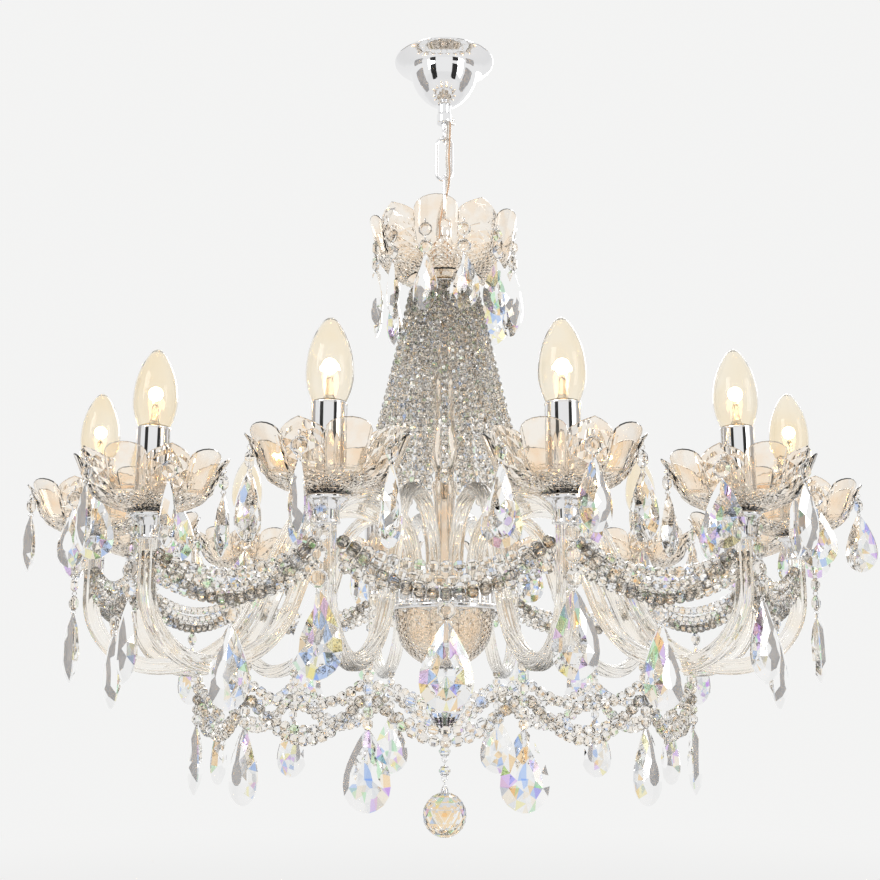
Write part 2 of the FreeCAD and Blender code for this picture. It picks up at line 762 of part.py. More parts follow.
def hub():
    """Plate with a socket for each arm, the cut dish under it and what closes the stem."""
    gap = S["seat_gap"]
    clear = S["stem_radius"] + S["stem_fit"]
    wide = S["hub_radius"]
    metal = S["hub_metal"]
    plate = turned_ring([(clear, 0), (wide, 0), (wide, metal), (clear, metal)], HUB_SIDES)
    feature("hub_plate", plate, hub_floor_drop())

    foot = turned([(S["ferrule_foot"], 0), (S["ferrule_foot"], S["arm_ferrule"])], ARM_SIDES, 30)
    foot = placed(foot, polar(S["arm_inner"], 0))
    feature("arm_ferrules", group(around(foot, ARMS, STEP / 2)), below_lamps("hub_below"))

    dish = petal_dish(
        S["hub_dish_radius"], S["hub_dish_height"], S["hub_dish_radius"] * 0.9, S["hub_dish_height"] * 0.42,
        S["hub_dish_foot"], bored_bore() + 0.2, S["bowl_petal_drop"] * HALF,
    )
    feature("hub_dish", dish, hub_dish_floor_drop())

    low = hub_dish_floor_drop() + gap + S["bottom_cup_height"]
    wide = S["bottom_cup_radius"]
    feature("bottom_cup", threaded_cup([(wide * 0.8, 0), (wide, S["bottom_cup_height"])]), low)


def finial_top_drop():
    return hub_dish_floor_drop() + S["seat_gap"] + S["bottom_cup_height"] + S["seat_gap"]


def finial_low_drop():
    return finial_top_drop() + S["finial_height"]


def drop_chain():
    """Glass spike, tie rod with a loop, two beads and the ball, hooked loop to loop."""
    gap = S["seat_gap"]
    height = S["finial_height"]
    bore = S["rod_radius"] + gap
    tip = bore + 1
    spike = turned_ring(
        [(bore, 0), (tip, 0), (S["finial_radius"], height * 0.44), (S["finial_neck"], height), (bore, height)],
        ROUND_SIDES, 22.5,
    )
    feature("glass_spike", spike, finial_low_drop())

    rod_top = finial_top_drop() - 6
    rod_low = finial_low_drop() + 1.5
    slim = S["rod_radius"]
    wide = S["stem_radius"] - S["stem_wall"] - 0.05
    plug = 5
    rod = turned([(slim, -rod_low), (slim, -rod_top - plug), (wide, -rod_top - plug), (wide, -rod_top)], 12)
    eye = placed(drop_loop(), Vector(0, 0, -rod_low - S["loop_radius"] + S["loop_wire"] * HALF))
    feature("tie_rod", rod.fuse(eye))

    step = loop_pitch()
    low_wire = loop_low_drop()
    bead_height = S["drop_bead_height"]
    for k, label in enumerate(("drop_bead_upper", "drop_bead_lower")):
        shape = hung_piece(turned([(0, 0), (S["drop_bead_radius"], bead_height / 2), (0, bead_height)], 8, 22.5),
                           bead_height, True)
        turn = 90
        obj = doc.addObject("Part::Feature", label)
        obj.Shape = shape
        obj.Placement = Placement(Vector(0, 0, -low_wire - step * k), Rotation(UP, turn))
        keep(obj, label)
    radius = S["ball_radius"]
    ball = ball_shape(radius)
    obj = doc.addObject("Part::Feature", "crystal_ball")
    cap = turned([(S["ball_cap_radius"], 0), (S["loop_wire"] * 2, S["ball_cap_height"])], 8)
    capped = ball.fuse(placed(cap, UP * (2 * radius - S["ball_cap_sink"])))
    height = 2 * radius - S["ball_cap_sink"] + S["ball_cap_height"]
    obj.Shape = hung_piece(capped, height, False)
    obj.Placement = Placement(Vector(0, 0, -low_wire - step * 2), Rotation(UP, 90))
    keep(obj, "crystal_ball")


def loop_low_drop():
    """Depth of the lowest wire centre line of the tie rod's loop."""
    return finial_low_drop() + 1.5 + 2 * S["loop_radius"] - S["loop_wire"] * HALF


def loop_pitch():
    """From the wire that a drop bead hangs on to the wire it offers below."""
    rise = hang(S["loop_wire"], S["loop_wire"])
    return S["drop_bead_height"] + 4 * S["loop_radius"] - 2 * S["loop_wire"] * HALF - rise


def drop_loop():
    """Small wire loop of the drop, in the XZ plane."""
    return wire_loop(S["loop_radius"], S["loop_wire"], 4, 8)


def hung_piece(body, height, lower_loop):
    """A cut piece with a wire loop on top, and below if asked, hung on the origin's wire.

    The origin is the centre line of the wire that it hangs on.
    """
    rise = hang(S["loop_wire"], S["loop_wire"])
    radius = S["loop_radius"]
    bite = S["loop_wire"] * HALF
    top_loop = placed(drop_loop(), Vector(0, 0, rise - radius))
    top = rise - 2 * radius + bite
    piece = placed(body, Vector(0, 0, top - height))
    whole = piece.fuse(top_loop)
    if lower_loop:
        low = placed(drop_loop(), Vector(0, 0, top - height - radius + bite), 90)
        whole = whole.fuse(low)
    return whole


def ball_shape(radius):
    """A ball cut in rings of flat facets, its lowest point at the origin."""
    sides = 10
    profile = [(0, 0)]
    for angle in (-54, -18, 18, 54):
        turn = math.radians(angle)
        profile.append((radius * math.cos(turn), radius + radius * math.sin(turn)))
    profile.append((0, 2 * radius))
    return turned(profile, sides)


# ---------------------------------------------------------------- arms and lamps

def arm_line():
    """Stations of an arm's centre line: radius, height below the ceiling, tangent angle.

    The angle is measured in the arm's own plane from straight out, in degrees.
    """
    lean = S["arm_lean"]
    arch = S["arm_arch"]
    inner = S["arm_inner"]
    centre_r = inner + arch
    centre_z = -(above_lamps("arm_peak_rise") + arch)
    line = [(inner, -(below_lamps("hub_below") - S["arm_ferrule"]), 90)]
    arch_steps = 4
    for k in range(arch_steps + 1):
        turn = 180 - (180 - lean) * k / arch_steps
        at = math.radians(turn)
        line.append((centre_r + arch * math.cos(at), centre_z + arch * math.sin(at), turn - 90))
    bend = S["arm_bend_radius"]
    low = -below_lamps("arm_low_below")
    bend_steps = 2
    start_turn = 180 + lean
    rise = S["arm_rise_radius"]
    end_r = line[-1][0]
    end_z = line[-1][1]
    way = math.radians(lean - 90)
    drop_needed = end_z - (low + bend - bend * math.cos(math.radians(90 - lean)))
    run = drop_needed / -math.sin(way)
    start_r = end_r + run * math.cos(way)
    bend_r = start_r + bend * math.cos(math.radians(lean))
    for k in range(bend_steps + 1):
        turn = start_turn + (270 - start_turn) * k / bend_steps
        at = math.radians(turn)
        line.append((bend_r + bend * math.cos(at), low + bend + bend * math.sin(at), turn + 90))
    rise_r = S["arm_circle"] - rise
    rise_steps = 3
    for k in range(rise_steps + 1):
        turn = 270 + 90.0 * k / rise_steps
        at = math.radians(turn)
        line.append((rise_r + rise * math.cos(at), low + rise + rise * math.sin(at), turn + 90))
    line.append((S["arm_circle"], -below_lamps("arm_top_below") - S["seat_gap"], 90))
    clean = [line[0]]
    for station in line[1:]:
        if math.hypot(station[0] - clean[-1][0], station[1] - clean[-1][1]) > 0.5:
            clean.append(station)
    return clean


def arm_shape():
    """One glass arm in the front plane."""
    rings = []
    for radius, height, angle in arm_line():
        turn = math.radians(angle)
        across = Vector(0, math.sin(turn), math.cos(turn))
        middle = Vector(0, -radius, height)
        corners = []
        for k in range(ARM_SIDES):
            a = 2 * math.pi * (k + HALF) / ARM_SIDES
            corners.append(middle + across * (S["arm_radius"] * math.cos(a))
                           + Vector(1, 0, 0) * (S["arm_radius"] * math.sin(a)))
        rings.append(corners)
    faces = [flat(*rings[0]), flat(*rings[-1])]
    for lower, upper in zip(rings, rings[1:]):
        faces += band(lower, upper)
    return solid(faces)


def at_lamp(shape):
    """Copies of a shape at each lamp."""
    one = placed(shape, polar(S["arm_circle"], 0))
    return group(around(one, ARMS, STEP / 2))


def bowl_shape():
    return petal_dish(
        S["bowl_radius"], S["bowl_height"], S["bowl_belly"], S["bowl_height"] * 0.3,
        S["bowl_foot"], S["nipple_radius"] + 0.8, S["bowl_petal_drop"], BOWL_TURN,
    )


def end_cup_low_drop():
    return S["bowl_drop"] + S["seat_gap"] + S["end_cup_height"]


def end_cup_shape():
    """Metal cup that the arm's end is set in, its lower end at the origin."""
    height = S["end_cup_height"]
    wide = S["flange_radius"]
    bore = S["arm_radius"] + S["seat_gap"]
    socket = end_cup_low_drop() - below_lamps("arm_top_below")
    cup = turned([(S["end_cup_radius"], 0), (wide, height - S["flange_metal"]), (wide, height)], ARM_SIDES)
    hole = turned([(bore, -1), (bore, socket)], ARM_SIDES, 30)
    return cup.cut(hole)


def lamps():
    """Arm, end cup, bowl, sleeve, holder, cap and bulb, twelve times round."""
    gap = S["seat_gap"]
    wall = S["glass_wall"]
    feature("glass_arms", group(around(arm_shape(), ARMS, STEP / 2)))

    floor = S["bowl_drop"]
    feature("arm_end_cups", at_lamp(end_cup_shape()), end_cup_low_drop())

    nipple_top = floor - wall - 3
    nipple = turned([(S["nipple_radius"], 0), (S["nipple_radius"], floor + gap - 0.05 - nipple_top)], NIPPLE_SIDES)
    feature("lamp_nipples", at_lamp(nipple), floor + gap - 0.05)

    feature("lamp_bowls", at_lamp(bowl_shape()), floor)

    sleeve_low = floor - wall - gap
    length = sleeve_low - above_lamps("sleeve_top_rise")
    outer = S["sleeve_radius"]
    inner = outer - S["sleeve_wall"]
    sleeve = turned_ring([(inner, 0), (outer, 0), (outer, length), (inner, length)], ROUND_SIDES, 22.5)
    feature("candle_sleeves", at_lamp(sleeve), sleeve_low)

    holder_low = nipple_top - gap
    holder_top = above_lamps("sleeve_top_rise") + 3
    holder_length = holder_low - holder_top
    well = (S["cap_radius"] + 0.4) / math.cos(math.pi / 6)
    holder = turned([(S["holder_radius"], 0), (S["holder_radius"], holder_length)], 6)
    depth = S["cap_height"] + 1 - 3
    pocket = turned([(well, holder_length - depth), (well, holder_length + 1)], 6)
    feature("lamp_holders", at_lamp(holder.cut(pocket)), holder_low)

    bulb_low = above_lamps("sleeve_top_rise") - gap
    cap_length = S["cap_height"]
    cap = turned([(S["cap_radius"], 0), (S["cap_radius"], cap_length)], 6)
    feature("bulb_caps", at_lamp(cap), bulb_low + cap_length + 0.05)

    wide = S["bulb_radius"]
    high = S["bulb_height"]
    profile = [(S["bulb_neck"], 0), (wide, high * 0.33), (wide * 0.8, high * 0.69),
               (wide * 0.4, high * 0.92), (0, high)]
    feature("bulbs", at_lamp(turned(profile, BULB_SIDES)), bulb_low)


# ---------------------------------------------------------------- crystals

def bead_shape(length, radius):
    """A cut bead, long axis Z, its middle at the origin."""
    return turned([(0, -length / 2), (radius, 0), (0, length / 2)], BEAD_SIDES)


def octagon_shape():
    """A flat button bead facing the front, with its pins above and below."""
    wide = S["octagon_radius"]
    high = S["octagon_reach"]
    deep = S["octagon_half"]
    middle = [Vector(-wide, 0, 0), Vector(0, -deep, 0), Vector(wide, 0, 0), Vector(0, deep, 0)]
    return solid(band([Vector(0, 0, -high)], middle) + band(middle, [Vector(0, 0, high)]))


def pear_shape(height, width, depth, fine):
    """A pear pendant facing the front, its top at the origin."""
    shares = ((0.40, 0.62), (0.76, 1.0)) if fine else ((0.70, 1.0),)
    rings = [[Vector(0, 0, 0)]]
    for down, across in shares:
        w = width / 2 * across
        t = depth / 2 * across
        z = -height * down
        rings.append([Vector(-w, 0, z), Vector(0, -t, z), Vector(w, 0, z), Vector(0, t, z)])
    rings.append([Vector(0, 0, -height)])
    faces = []
    for lower, upper in zip(rings, rings[1:]):
        faces += band(lower, upper)
    return solid(faces)


def between(first, last, length, radius):
    """Beads strung straight from one point to another, evenly, tips a gap apart."""
    span = (last - first).Length
    count = max(1, int(round(span / length)))
    pitch = span / count
    return bead_row([first + (last - first) * (k / count) for k in range(count + 1)], pitch, radius)


def bead_row(points, pitch, radius):
    beads = []
    for start, end in zip(points, points[1:]):
        way = end - start
        shape = bead_shape(way.Length - S["bead_gap"], radius)
        shape.Placement = Placement((start + end) * HALF, Rotation(UP, way))
        beads.append(shape)
    return beads


def garland(first, last, sag, length, radius):
    """Beads along a hanging curve between two points."""
    chord = (last - first).Length
    curve = chord * (1 + 8.0 / 3.0 * (sag / chord) ** 2)
    count = max(2, int(round(curve / length)))
    if count % 2:
        count += 1
    points = []
    for k in range(count + 1):
        t = k / count
        point = first + (last - first) * t
        points.append(point - UP * (4 * sag * t * (1 - t)))
    return bead_row(points, length, radius)


def strands():
    """The tent of bead strands from the crown down to the arms."""
    crown = dish_floor_drop() + 2 * S["seat_gap"] + S["cup_height"] + S["crown_metal"]
    top = -(crown + S["seat_gap"])
    above = polar(S["strand_foot_outer"], 0, -strand_foot_drop())
    foot = meet(arm_shape(), above, -UP, S["seat_gap"])
    head = polar(S["strand_top_outer"], 0, top)
    outer = []
    for bead in between(head, foot, S["strand_pitch_outer"], S["bead_radius"] * 0.8):
        outer += around(bead, ARMS, STEP / 2)
    feature("outer_strands", group(outer))
    head = polar(S["strand_top_inner"], 0, top)
    foot = polar(S["strand_foot_inner"], 0, -strand_foot_drop())
    inner = []
    for bead in between(head, foot, S["strand_pitch_inner"], S["bead_radius"] * 1.2):
        inner += around(bead, ARMS // 2)
    feature("inner_strands", group(inner))


def below(point, reach):
    """The centre of a piece that hangs under a point, a bead gap away."""
    return point - UP * (S["bead_gap"] + reach)


def bowl_pendants():
    """Five octagons and pendants round each lamp bowl, one of them straight out."""
    pear = pear_shape(S["pear_height"], S["pear_width"], S["pear_depth"], False)
    bowl = bowl_shape()
    reach = S["octagon_reach"]
    level = S["bowl_height"] - S["bowl_petal_drop"] - reach - 1
    octagons = []
    pears = []
    for k in range(BOWL_PENDANTS):
        angle = 360.0 * k / BOWL_PENDANTS
        octagon = placed(octagon_shape(), polar(2 * S["bowl_radius"], angle, level), angle)
        slide_to(octagon, bowl, polar(-1, angle), S["seat_gap"])
        centre_point = octagon.Placement.Base
        octagons.append(octagon)
        pears.append(placed(pear, below(centre_point - UP * reach, 0), angle))
    to_lamp = Placement(polar(S["arm_circle"], 0), Rotation())
    for label, shapes in (("bowl_octagons", octagons), ("bowl_pears", pears)):
        every = []
        for shape in shapes:
            shape.Placement = to_lamp.multiply(shape.Placement)
            every += around(shape, ARMS, STEP / 2)
        feature(label, group(every), S["bowl_drop"])


def dish_pendants():
    """Two octagons and a pear at twelve places round the top dish."""
    dish = subpart("top_dish").Shape
    pear = pear_shape(S["dish_pear_height"], S["pear_width"], S["pear_depth"], True)
    reach = S["octagon_reach"]
    level = S["dish_rim_drop"] + S["dish_pendant_drop"]
    octagons = []
    pears = []
    for k in range(ARMS):
        angle = STEP * (k + HALF)
        upper = placed(octagon_shape(), polar(2 * S["dish_radius"], angle, -level), angle)
        slide_to(upper, dish, polar(-1, angle), S["seat_gap"])
        centre_point = below(upper.Placement.Base - UP * reach, reach)
        lower = placed(octagon_shape(), centre_point, angle)
        octagons += [upper, lower]
        pears.append(placed(pear, below(centre_point - UP * reach, 0), angle))
    feature("dish_octagons", group(octagons))
    feature("dish_pears", group(pears))


def subpart(label):
    return [obj for obj in subparts if obj.Label == label][0]


def arm_garlands():
    """Garlands between the arms, each with an octagon and a large pear that can swing."""
    depth = S["arm_circle"] * math.cos(math.radians(STEP / 2))
    gap = S["bead_gap"]
    reach = S["octagon_reach"]
    middle = Vector(0, -depth, -below_lamps("garland_end_below"))
    right_arm = placed(arm_shape(), Vector(), STEP / 2)
    right = meet(right_arm, middle, Vector(1, 0, 0), S["seat_gap"])
    left = Vector(-right.x, right.y, right.z)
    low = below_lamps("gap_pear_below") - gap - 2 * reach - gap
    every = []
    for bead in garland(left, right, low - below_lamps("garland_end_below"), S["garland_bead"], S["bead_radius"]):
        every += around(bead)
    feature("upper_garlands", group(every))
    octagon = placed(octagon_shape(), Vector(0, -depth, -low - gap - reach))
    feature("gap_octagons", group(around(octagon)))
    pear = pear_shape(S["large_pear_height"], S["large_pear_width"], S["large_pear_depth"], True)
    for k in range(ARMS):
        label = "gap_pear_%02d" % (k + 1)
        obj = doc.addObject("Part::Feature", label)
        obj.Shape = pear
        obj.Placement = Placement(polar(depth, STEP * k, -below_lamps("gap_pear_below")), Rotation(UP, STEP * k))
        keep(obj, label)


def arm_pendants():
    """Beads, an octagon and a large pear that hang from the end cup outside each arm."""
    depth = S["large_pear_depth"]
    gap = S["bead_gap"]
    reach = S["octagon_reach"]
    radius = S["arm_circle"] + S["arm_radius"] + depth / 2 + 2 * S["seat_gap"]
    cup = placed(end_cup_shape(), polar(S["arm_circle"], 0, -end_cup_low_drop()))
    top = meet(cup, polar(radius, 0, -below_lamps("arm_pear_below")), UP, S["seat_gap"])
    low = below_lamps("arm_pear_below") - gap - 2 * reach - gap
    beads = between(top, polar(radius, 0, -low), S["drop_pitch"], S["bead_radius"])
    octagon = placed(octagon_shape(), polar(radius, 0, -low - gap - reach))
    every = []
    for shape in beads + [octagon]:
        every += around(shape, ARMS, STEP / 2)
    feature("arm_drop_beads", group(every))
    pear = pear_shape(S["large_pear_height"], S["large_pear_width"] * 0.92, depth, True)
    hung = placed(pear, polar(radius, 0, -below_lamps("arm_pear_below")))
    feature("arm_pears", group(around(hung, ARMS, STEP / 2)))


def low_garlands():
    """Drops under the arms, garlands between them and the lowest ring of pears."""
    radius = S["low_circle"]
    bead = S["bead_radius"]
    low = polar(radius, 0, -(low_pear_drop() - S["bead_gap"]))
    top = meet(arm_shape(), low, UP, S["seat_gap"])
    drops = between(top, low, S["drop_pitch"], bead)
    carrier = drops[len(drops) // 2]
    depth = radius * math.cos(math.radians(STEP / 2))
    start = Vector(0, -depth, carrier.Placement.Base.z - bead / 10)
    right = meet(placed_around(carrier, STEP / 2), start, Vector(1, 0, 0), S["seat_gap"])
    left = meet(placed_around(carrier, -STEP / 2), start, Vector(-1, 0, 0), S["seat_gap"])
    swag = garland(left, right, S["low_garland_sag"], S["garland_bead"], bead * 0.9)
    every = []
    for shape in drops:
        every += around(shape, ARMS, STEP / 2)
    for shape in swag:
        every += around(shape)
    feature("lower_garlands", group(every))
    pear = pear_shape(S["large_pear_height"], S["large_pear_width"], S["large_pear_depth"], True)
    hung = placed(pear, polar(radius, 0, -low_pear_drop()))
    feature("low_pears", group(around(hung, ARMS, STEP / 2)))


def check_document():
    """Stop before anything is written if an object failed or a sub-part is not sound."""
    doc.recompute()
    for obj in doc.Objects:
        bad = [state for state in obj.State if state in ("Invalid", "Error")]
        assert not bad, "%s is %s" % (obj.Name, bad)
    for obj in subparts:
        assert not obj.Shape.isNull() and obj.Shape.isValid(), "%s has no sound shape" % obj.Label


def write_parts():
    os.makedirs("parts", exist_ok=True)
    for obj in subparts:
        obj.Shape.exportStep("parts/%s.step" % obj.Label)
    print("%d sub-parts written" % len(subparts))


ceiling_strap()
ceiling_cup()
eye_bolt()
bolt_nuts()
terminal_block()
collar()
chain()
flex()
stem()
centre()
hub()
drop_chain()
lamps()
strands()
bowl_pendants()
dish_pendants()
arm_garlands()
arm_pendants()
low_garlands()
check_document()
write_parts()
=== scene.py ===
"""Looks for the crystal chandelier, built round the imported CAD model.

Lengths are millimetres, and heights are from the ceiling mount; objects are made in metres.
"""
import math

import bpy
import numpy as np
from mathutils import Matrix, Vector


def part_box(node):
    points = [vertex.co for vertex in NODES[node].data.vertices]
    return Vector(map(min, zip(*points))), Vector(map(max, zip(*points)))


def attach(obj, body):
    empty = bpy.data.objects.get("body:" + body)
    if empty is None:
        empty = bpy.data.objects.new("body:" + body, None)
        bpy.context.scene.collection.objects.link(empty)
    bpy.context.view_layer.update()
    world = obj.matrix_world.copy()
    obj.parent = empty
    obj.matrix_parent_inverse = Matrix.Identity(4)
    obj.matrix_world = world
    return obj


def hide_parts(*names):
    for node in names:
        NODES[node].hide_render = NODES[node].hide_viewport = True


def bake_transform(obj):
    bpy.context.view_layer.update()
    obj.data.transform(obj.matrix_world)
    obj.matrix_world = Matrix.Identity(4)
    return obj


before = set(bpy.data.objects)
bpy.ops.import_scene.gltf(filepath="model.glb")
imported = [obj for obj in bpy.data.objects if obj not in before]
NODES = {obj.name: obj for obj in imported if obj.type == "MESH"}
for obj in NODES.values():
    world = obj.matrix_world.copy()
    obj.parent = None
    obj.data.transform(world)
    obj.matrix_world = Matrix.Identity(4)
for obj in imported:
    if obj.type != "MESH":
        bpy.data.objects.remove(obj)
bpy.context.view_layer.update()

MM = 0.001
RNG = np.random.default_rng(7)

LAMPS = 12
PITCH = 360 / LAMPS  # degrees from one lamp to the next
LAMP_ANGLES = [PITCH * (k + 0.5) for k in range(LAMPS)]
GAP_ANGLES = [PITCH * k for k in range(LAMPS)]
HALF_PITCH = math.radians(PITCH / 2)

LAMP_RADIUS = 324.0
FOOT_RADIUS = 40.0  # where the arms stand on the hub plate
LOW_RADIUS = 228.0  # where the lower garlands hang under the arms
STEM_BORE = 5.5
DISH_BORE = 6.1
LINK_WIRE = 1.7
EYE = (5.9, 1.9, 56, 18)  # eyes of the chain: radius, wire, steps and sides
LOOP = (2.4, 0.6, 28, 10)  # loops of the drop, in the same order
LOOP_DROP = 3.0  # from a loop's top to its middle
BULB_BASE = -443.3
FILAMENT = -416.0

PETALS = 10
DISH_TURN = -7
BOWL_TURN = 36


def box_mm(node):
    """The low and high corners of a CAD node's box, in millimetres."""
    return tuple(np.array(v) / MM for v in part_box(node))


def span(node):
    """A CAD node's lowest height, and how tall it is."""
    low, high = box_mm(node)
    return low[2], high[2] - low[2]


# ---------------------------------------------------------------- mesh helpers

class Shape:
    """Vertices in millimetres and faces as index tuples."""

    def __init__(self, verts=(), faces=()):
        self.verts = np.array(verts, float).reshape(-1, 3)
        self.faces = list(faces)

    def copy(self, matrix):
        """The shape moved by a 4x4 matrix."""
        m = np.array(matrix, float)
        return Shape(self.verts @ m[:3, :3].T + m[:3, 3], self.faces)

    def at(self, x=0.0, y=0.0, z=0.0, turn=0.0):
        """Turned about Z by degrees, then moved."""
        spin = Matrix.Rotation(math.radians(turn), 4, "Z")
        return self.copy(Matrix.Translation((x, y, z)) @ spin)


def join(shapes):
    verts, faces, start = [], [], 0
    for s in shapes:
        verts.append(s.verts)
        faces += [tuple(i + start for i in f) for f in s.faces]
        start += len(s.verts)
    return Shape(np.vstack(verts), faces)


def polar(radius, angle, z=0.0):
    """A point at an angle from the front, anticlockwise as seen from above."""
    a = math.radians(angle)
    return np.array([radius * math.sin(a), -radius * math.cos(a), z])


def round_lamps(shape, radius=LAMP_RADIUS):
    """Copies of a shape that faces the front, one at each lamp's angle."""
    spots = [(polar(radius, a), a) for a in LAMP_ANGLES]
    return join([shape.at(p[0], p[1], 0, a) for p, a in spots])


def soften(profile, reach, steps=3, closed=False):
    """Round the corners of an outline of (radius, height) points."""
    pts = [np.array(p, float) for p in profile]
    n = len(pts)
    out = []
    for k, p in enumerate(pts):
        if not closed and k in (0, n - 1):
            out.append(p)
            continue
        a, b = pts[k - 1], pts[(k + 1) % n]
        la, lb = np.linalg.norm(a - p), np.linalg.norm(b - p)
        r = min(reach, 0.4 * la, 0.4 * lb)
        s, e = p + (a - p) / la * r, p + (b - p) / lb * r
        for i in range(steps + 1):
            t = i / steps
            out.append((1 - t) ** 2 * s + 2 * t * (1 - t) * p + t ** 2 * e)
    return [tuple(p) for p in out]


def lathe(profile, sides=48, closed=False, ribs=0, depth=0.0):
    """Turn an outline about Z. ribs and depth flute it; a closed outline makes a ring."""
    rings, verts = [], []
    for r, z in profile:
        if r < 1e-6:
            rings.append([len(verts)])
            verts.append((0, 0, z))
            continue
        ring = []
        for k in range(sides):
            a = 2 * math.pi * k / sides
            rr = r * (1 - depth * (1 - abs(math.cos(ribs * a / 2)))) if ribs else r
            ring.append(len(verts))
            verts.append((rr * math.sin(a), -rr * math.cos(a), z))
        rings.append(ring)
    faces = []
    for low, high in zip(rings, rings[1:] + rings[:1] if closed else rings[1:]):
        for k in range(sides):
            n = (k + 1) % sides
            if len(low) == 1 and len(high) == 1:
                continue
            if len(low) == 1:
                faces.append((low[0], high[n], high[k]))
            elif len(high) == 1:
                faces.append((low[k], low[n], high[0]))
            else:
                faces.append((low[k], low[n], high[n], high[k]))
    if not closed:
        for ring, flip in ((rings[0], True), (rings[-1], False)):
            if len(ring) > 1:
                faces.append(tuple(reversed(ring)) if flip else tuple(ring))
    return Shape(verts, faces)


def tube(points, radius, sides=12, closed=False, section=None, side_hint=(0.31, 0.95, 0.05)):
    """A tube along points; section gives (across, up) pairs in millimetres instead of a circle."""
    pts = np.array(points, float)
    n = len(pts)
    if closed:
        ways = np.roll(pts, -1, 0) - np.roll(pts, 1, 0)
    else:
        ways = np.gradient(pts, axis=0)
    ways /= np.linalg.norm(ways, axis=1)[:, None]
    side = np.array(side_hint, float)
    if section is None:
        turn = np.linspace(0, 2 * math.pi, sides, endpoint=False)
        section = [(math.cos(t), math.sin(t)) for t in turn]
        scale = np.broadcast_to(np.array(radius, float), (n,))
    else:
        scale = np.ones(n)
    count = len(section)
    verts = []
    for k in range(n):
        side = side - ways[k] * side.dot(ways[k])
        side /= np.linalg.norm(side)
        other = np.cross(ways[k], side)
        for u, v in section:
            verts.append(pts[k] + (side * u + other * v) * scale[k])
    faces = []
    rows = n if closed else n - 1
    for i in range(rows):
        a, b = i * count, ((i + 1) % n) * count
        for k in range(count):
            m = (k + 1) % count
            faces.append((a + k, a + m, b + m, b + k))
    if not closed:
        faces.append(tuple(reversed(range(count))))
        faces.append(tuple(range((n - 1) * count, n * count)))
    return Shape(verts, faces)


def ring_wire(radius, wire, steps, sides):
    """A wire ring in the XZ plane, its middle at the origin."""
    turn = np.linspace(0, 2 * math.pi, steps, endpoint=False)
    pts = [(radius * math.cos(t), 0, radius * math.sin(t)) for t in turn]
    return tube(pts, wire, sides, True, side_hint=(0, 1, 0))


def islands(node):
    """The loose parts of a CAD node, as arrays of their corners in millimetres."""
    mesh = NODES[node].data
    co = np.array([v.co for v in mesh.vertices], float).reshape(-1, 3) / MM
    key, where = {}, []
    for c in np.round(co, 2):
        where.append(key.setdefault(tuple(c), len(key)))
    owner = list(range(len(key)))

    def root(i):
        while owner[i] != i:
            owner[i] = owner[owner[i]]
            i = owner[i]
        return i

    for p in mesh.polygons:
        ids = [where[v] for v in p.vertices]
        for i in ids[1:]:
            owner[root(i)] = root(ids[0])
    groups = {}
    for v, w in enumerate(where):
        groups.setdefault(root(w), []).append(v)
    parts = [co[g] for g in groups.values()]
    return sorted(parts, key=lambda p: tuple(np.round(p.mean(0), 1)))


def facing(part, towards):
    """Degrees about Z that turn a front-facing shape to look from towards to the part."""
    d = part.mean(0)[:2] - np.array(towards[:2])
    return math.degrees(math.atan2(d[0], -d[1]))


def make(name, shape, material, body, smooth=35.0, nodes=()):
    """One Blender piece from a shape: smooth is the crease angle, or None for flat facets."""
    mesh = bpy.data.meshes.new(name)
    mesh.from_pydata((shape.verts * MM).tolist(), [], shape.faces)
    mesh.validate()
    if smooth is not None:
        mesh.polygons.foreach_set("use_smooth", [True] * len(mesh.polygons))
        mesh.set_sharp_from_angle(angle=math.radians(smooth))
    mesh.update()
    obj = bpy.data.objects.new(name, mesh)
    bpy.context.scene.collection.objects.link(obj)
    obj.data.materials.append(material)
    if body:
        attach(obj, body)
    if nodes:
        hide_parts(*nodes)
    return obj


# ---------------------------------------------------------------- materials

def new_material(name, **sockets):
    mat = bpy.data.materials.new(name)
    mat.use_nodes = True
    shader = mat.node_tree.nodes["Principled BSDF"]
    for key, value in sockets.items():
        shader.inputs[key.replace("_", " ")].default_value = value
    return mat, mat.node_tree, shader


def link(tree, a, b):
    tree.links.new(a, b)


def add(tree, kind, feeds=None, mode=None, **values):
    """A shader node: what feeds its inputs, its own settings, and its inputs' values."""
    node = tree.nodes.new("ShaderNode" + kind)
    for key, value in (mode or {}).items():
        setattr(node, key, value)
    for key, value in values.items():
        node.inputs[key.replace("_", " ")].default_value = value
    for key, output in (feeds or {}).items():
        link(tree, output, node.inputs[key])
    return node


def noise_rough(tree, shader, scale, low, high):
    """Roughness that wanders between two values, as handled metal and glass do."""
    coord = add(tree, "TexCoord")
    noise = add(tree, "TexNoise", {"Vector": coord.outputs["Object"]}, Scale=scale, Detail=3.0)
    span = add(tree, "MapRange", {"Value": noise.outputs["Fac"]},
               From_Min=0.3, From_Max=0.7, To_Min=low, To_Max=high)
    link(tree, span.outputs["Result"], shader.inputs["Roughness"])
    return coord, noise


def add_bump(tree, shader, height, strength, distance):
    bump = add(tree, "Bump", {"Height": height}, Strength=strength, Distance=distance)
    link(tree, bump.outputs["Normal"], shader.inputs["Normal"])


def ramp_of(tree, factor, stops, constant=False):
    ramp = tree.nodes.new("ShaderNodeValToRGB")
    ramp.color_ramp.interpolation = "CONSTANT" if constant else "LINEAR"
    points = ramp.color_ramp.elements
    while len(points) < len(stops):
        points.new(0.5)
    for point, (place, colour) in zip(points, stops):
        point.position = place
        point.color = (*colour, 1.0)
    link(tree, factor, ramp.inputs["Fac"])
    return ramp


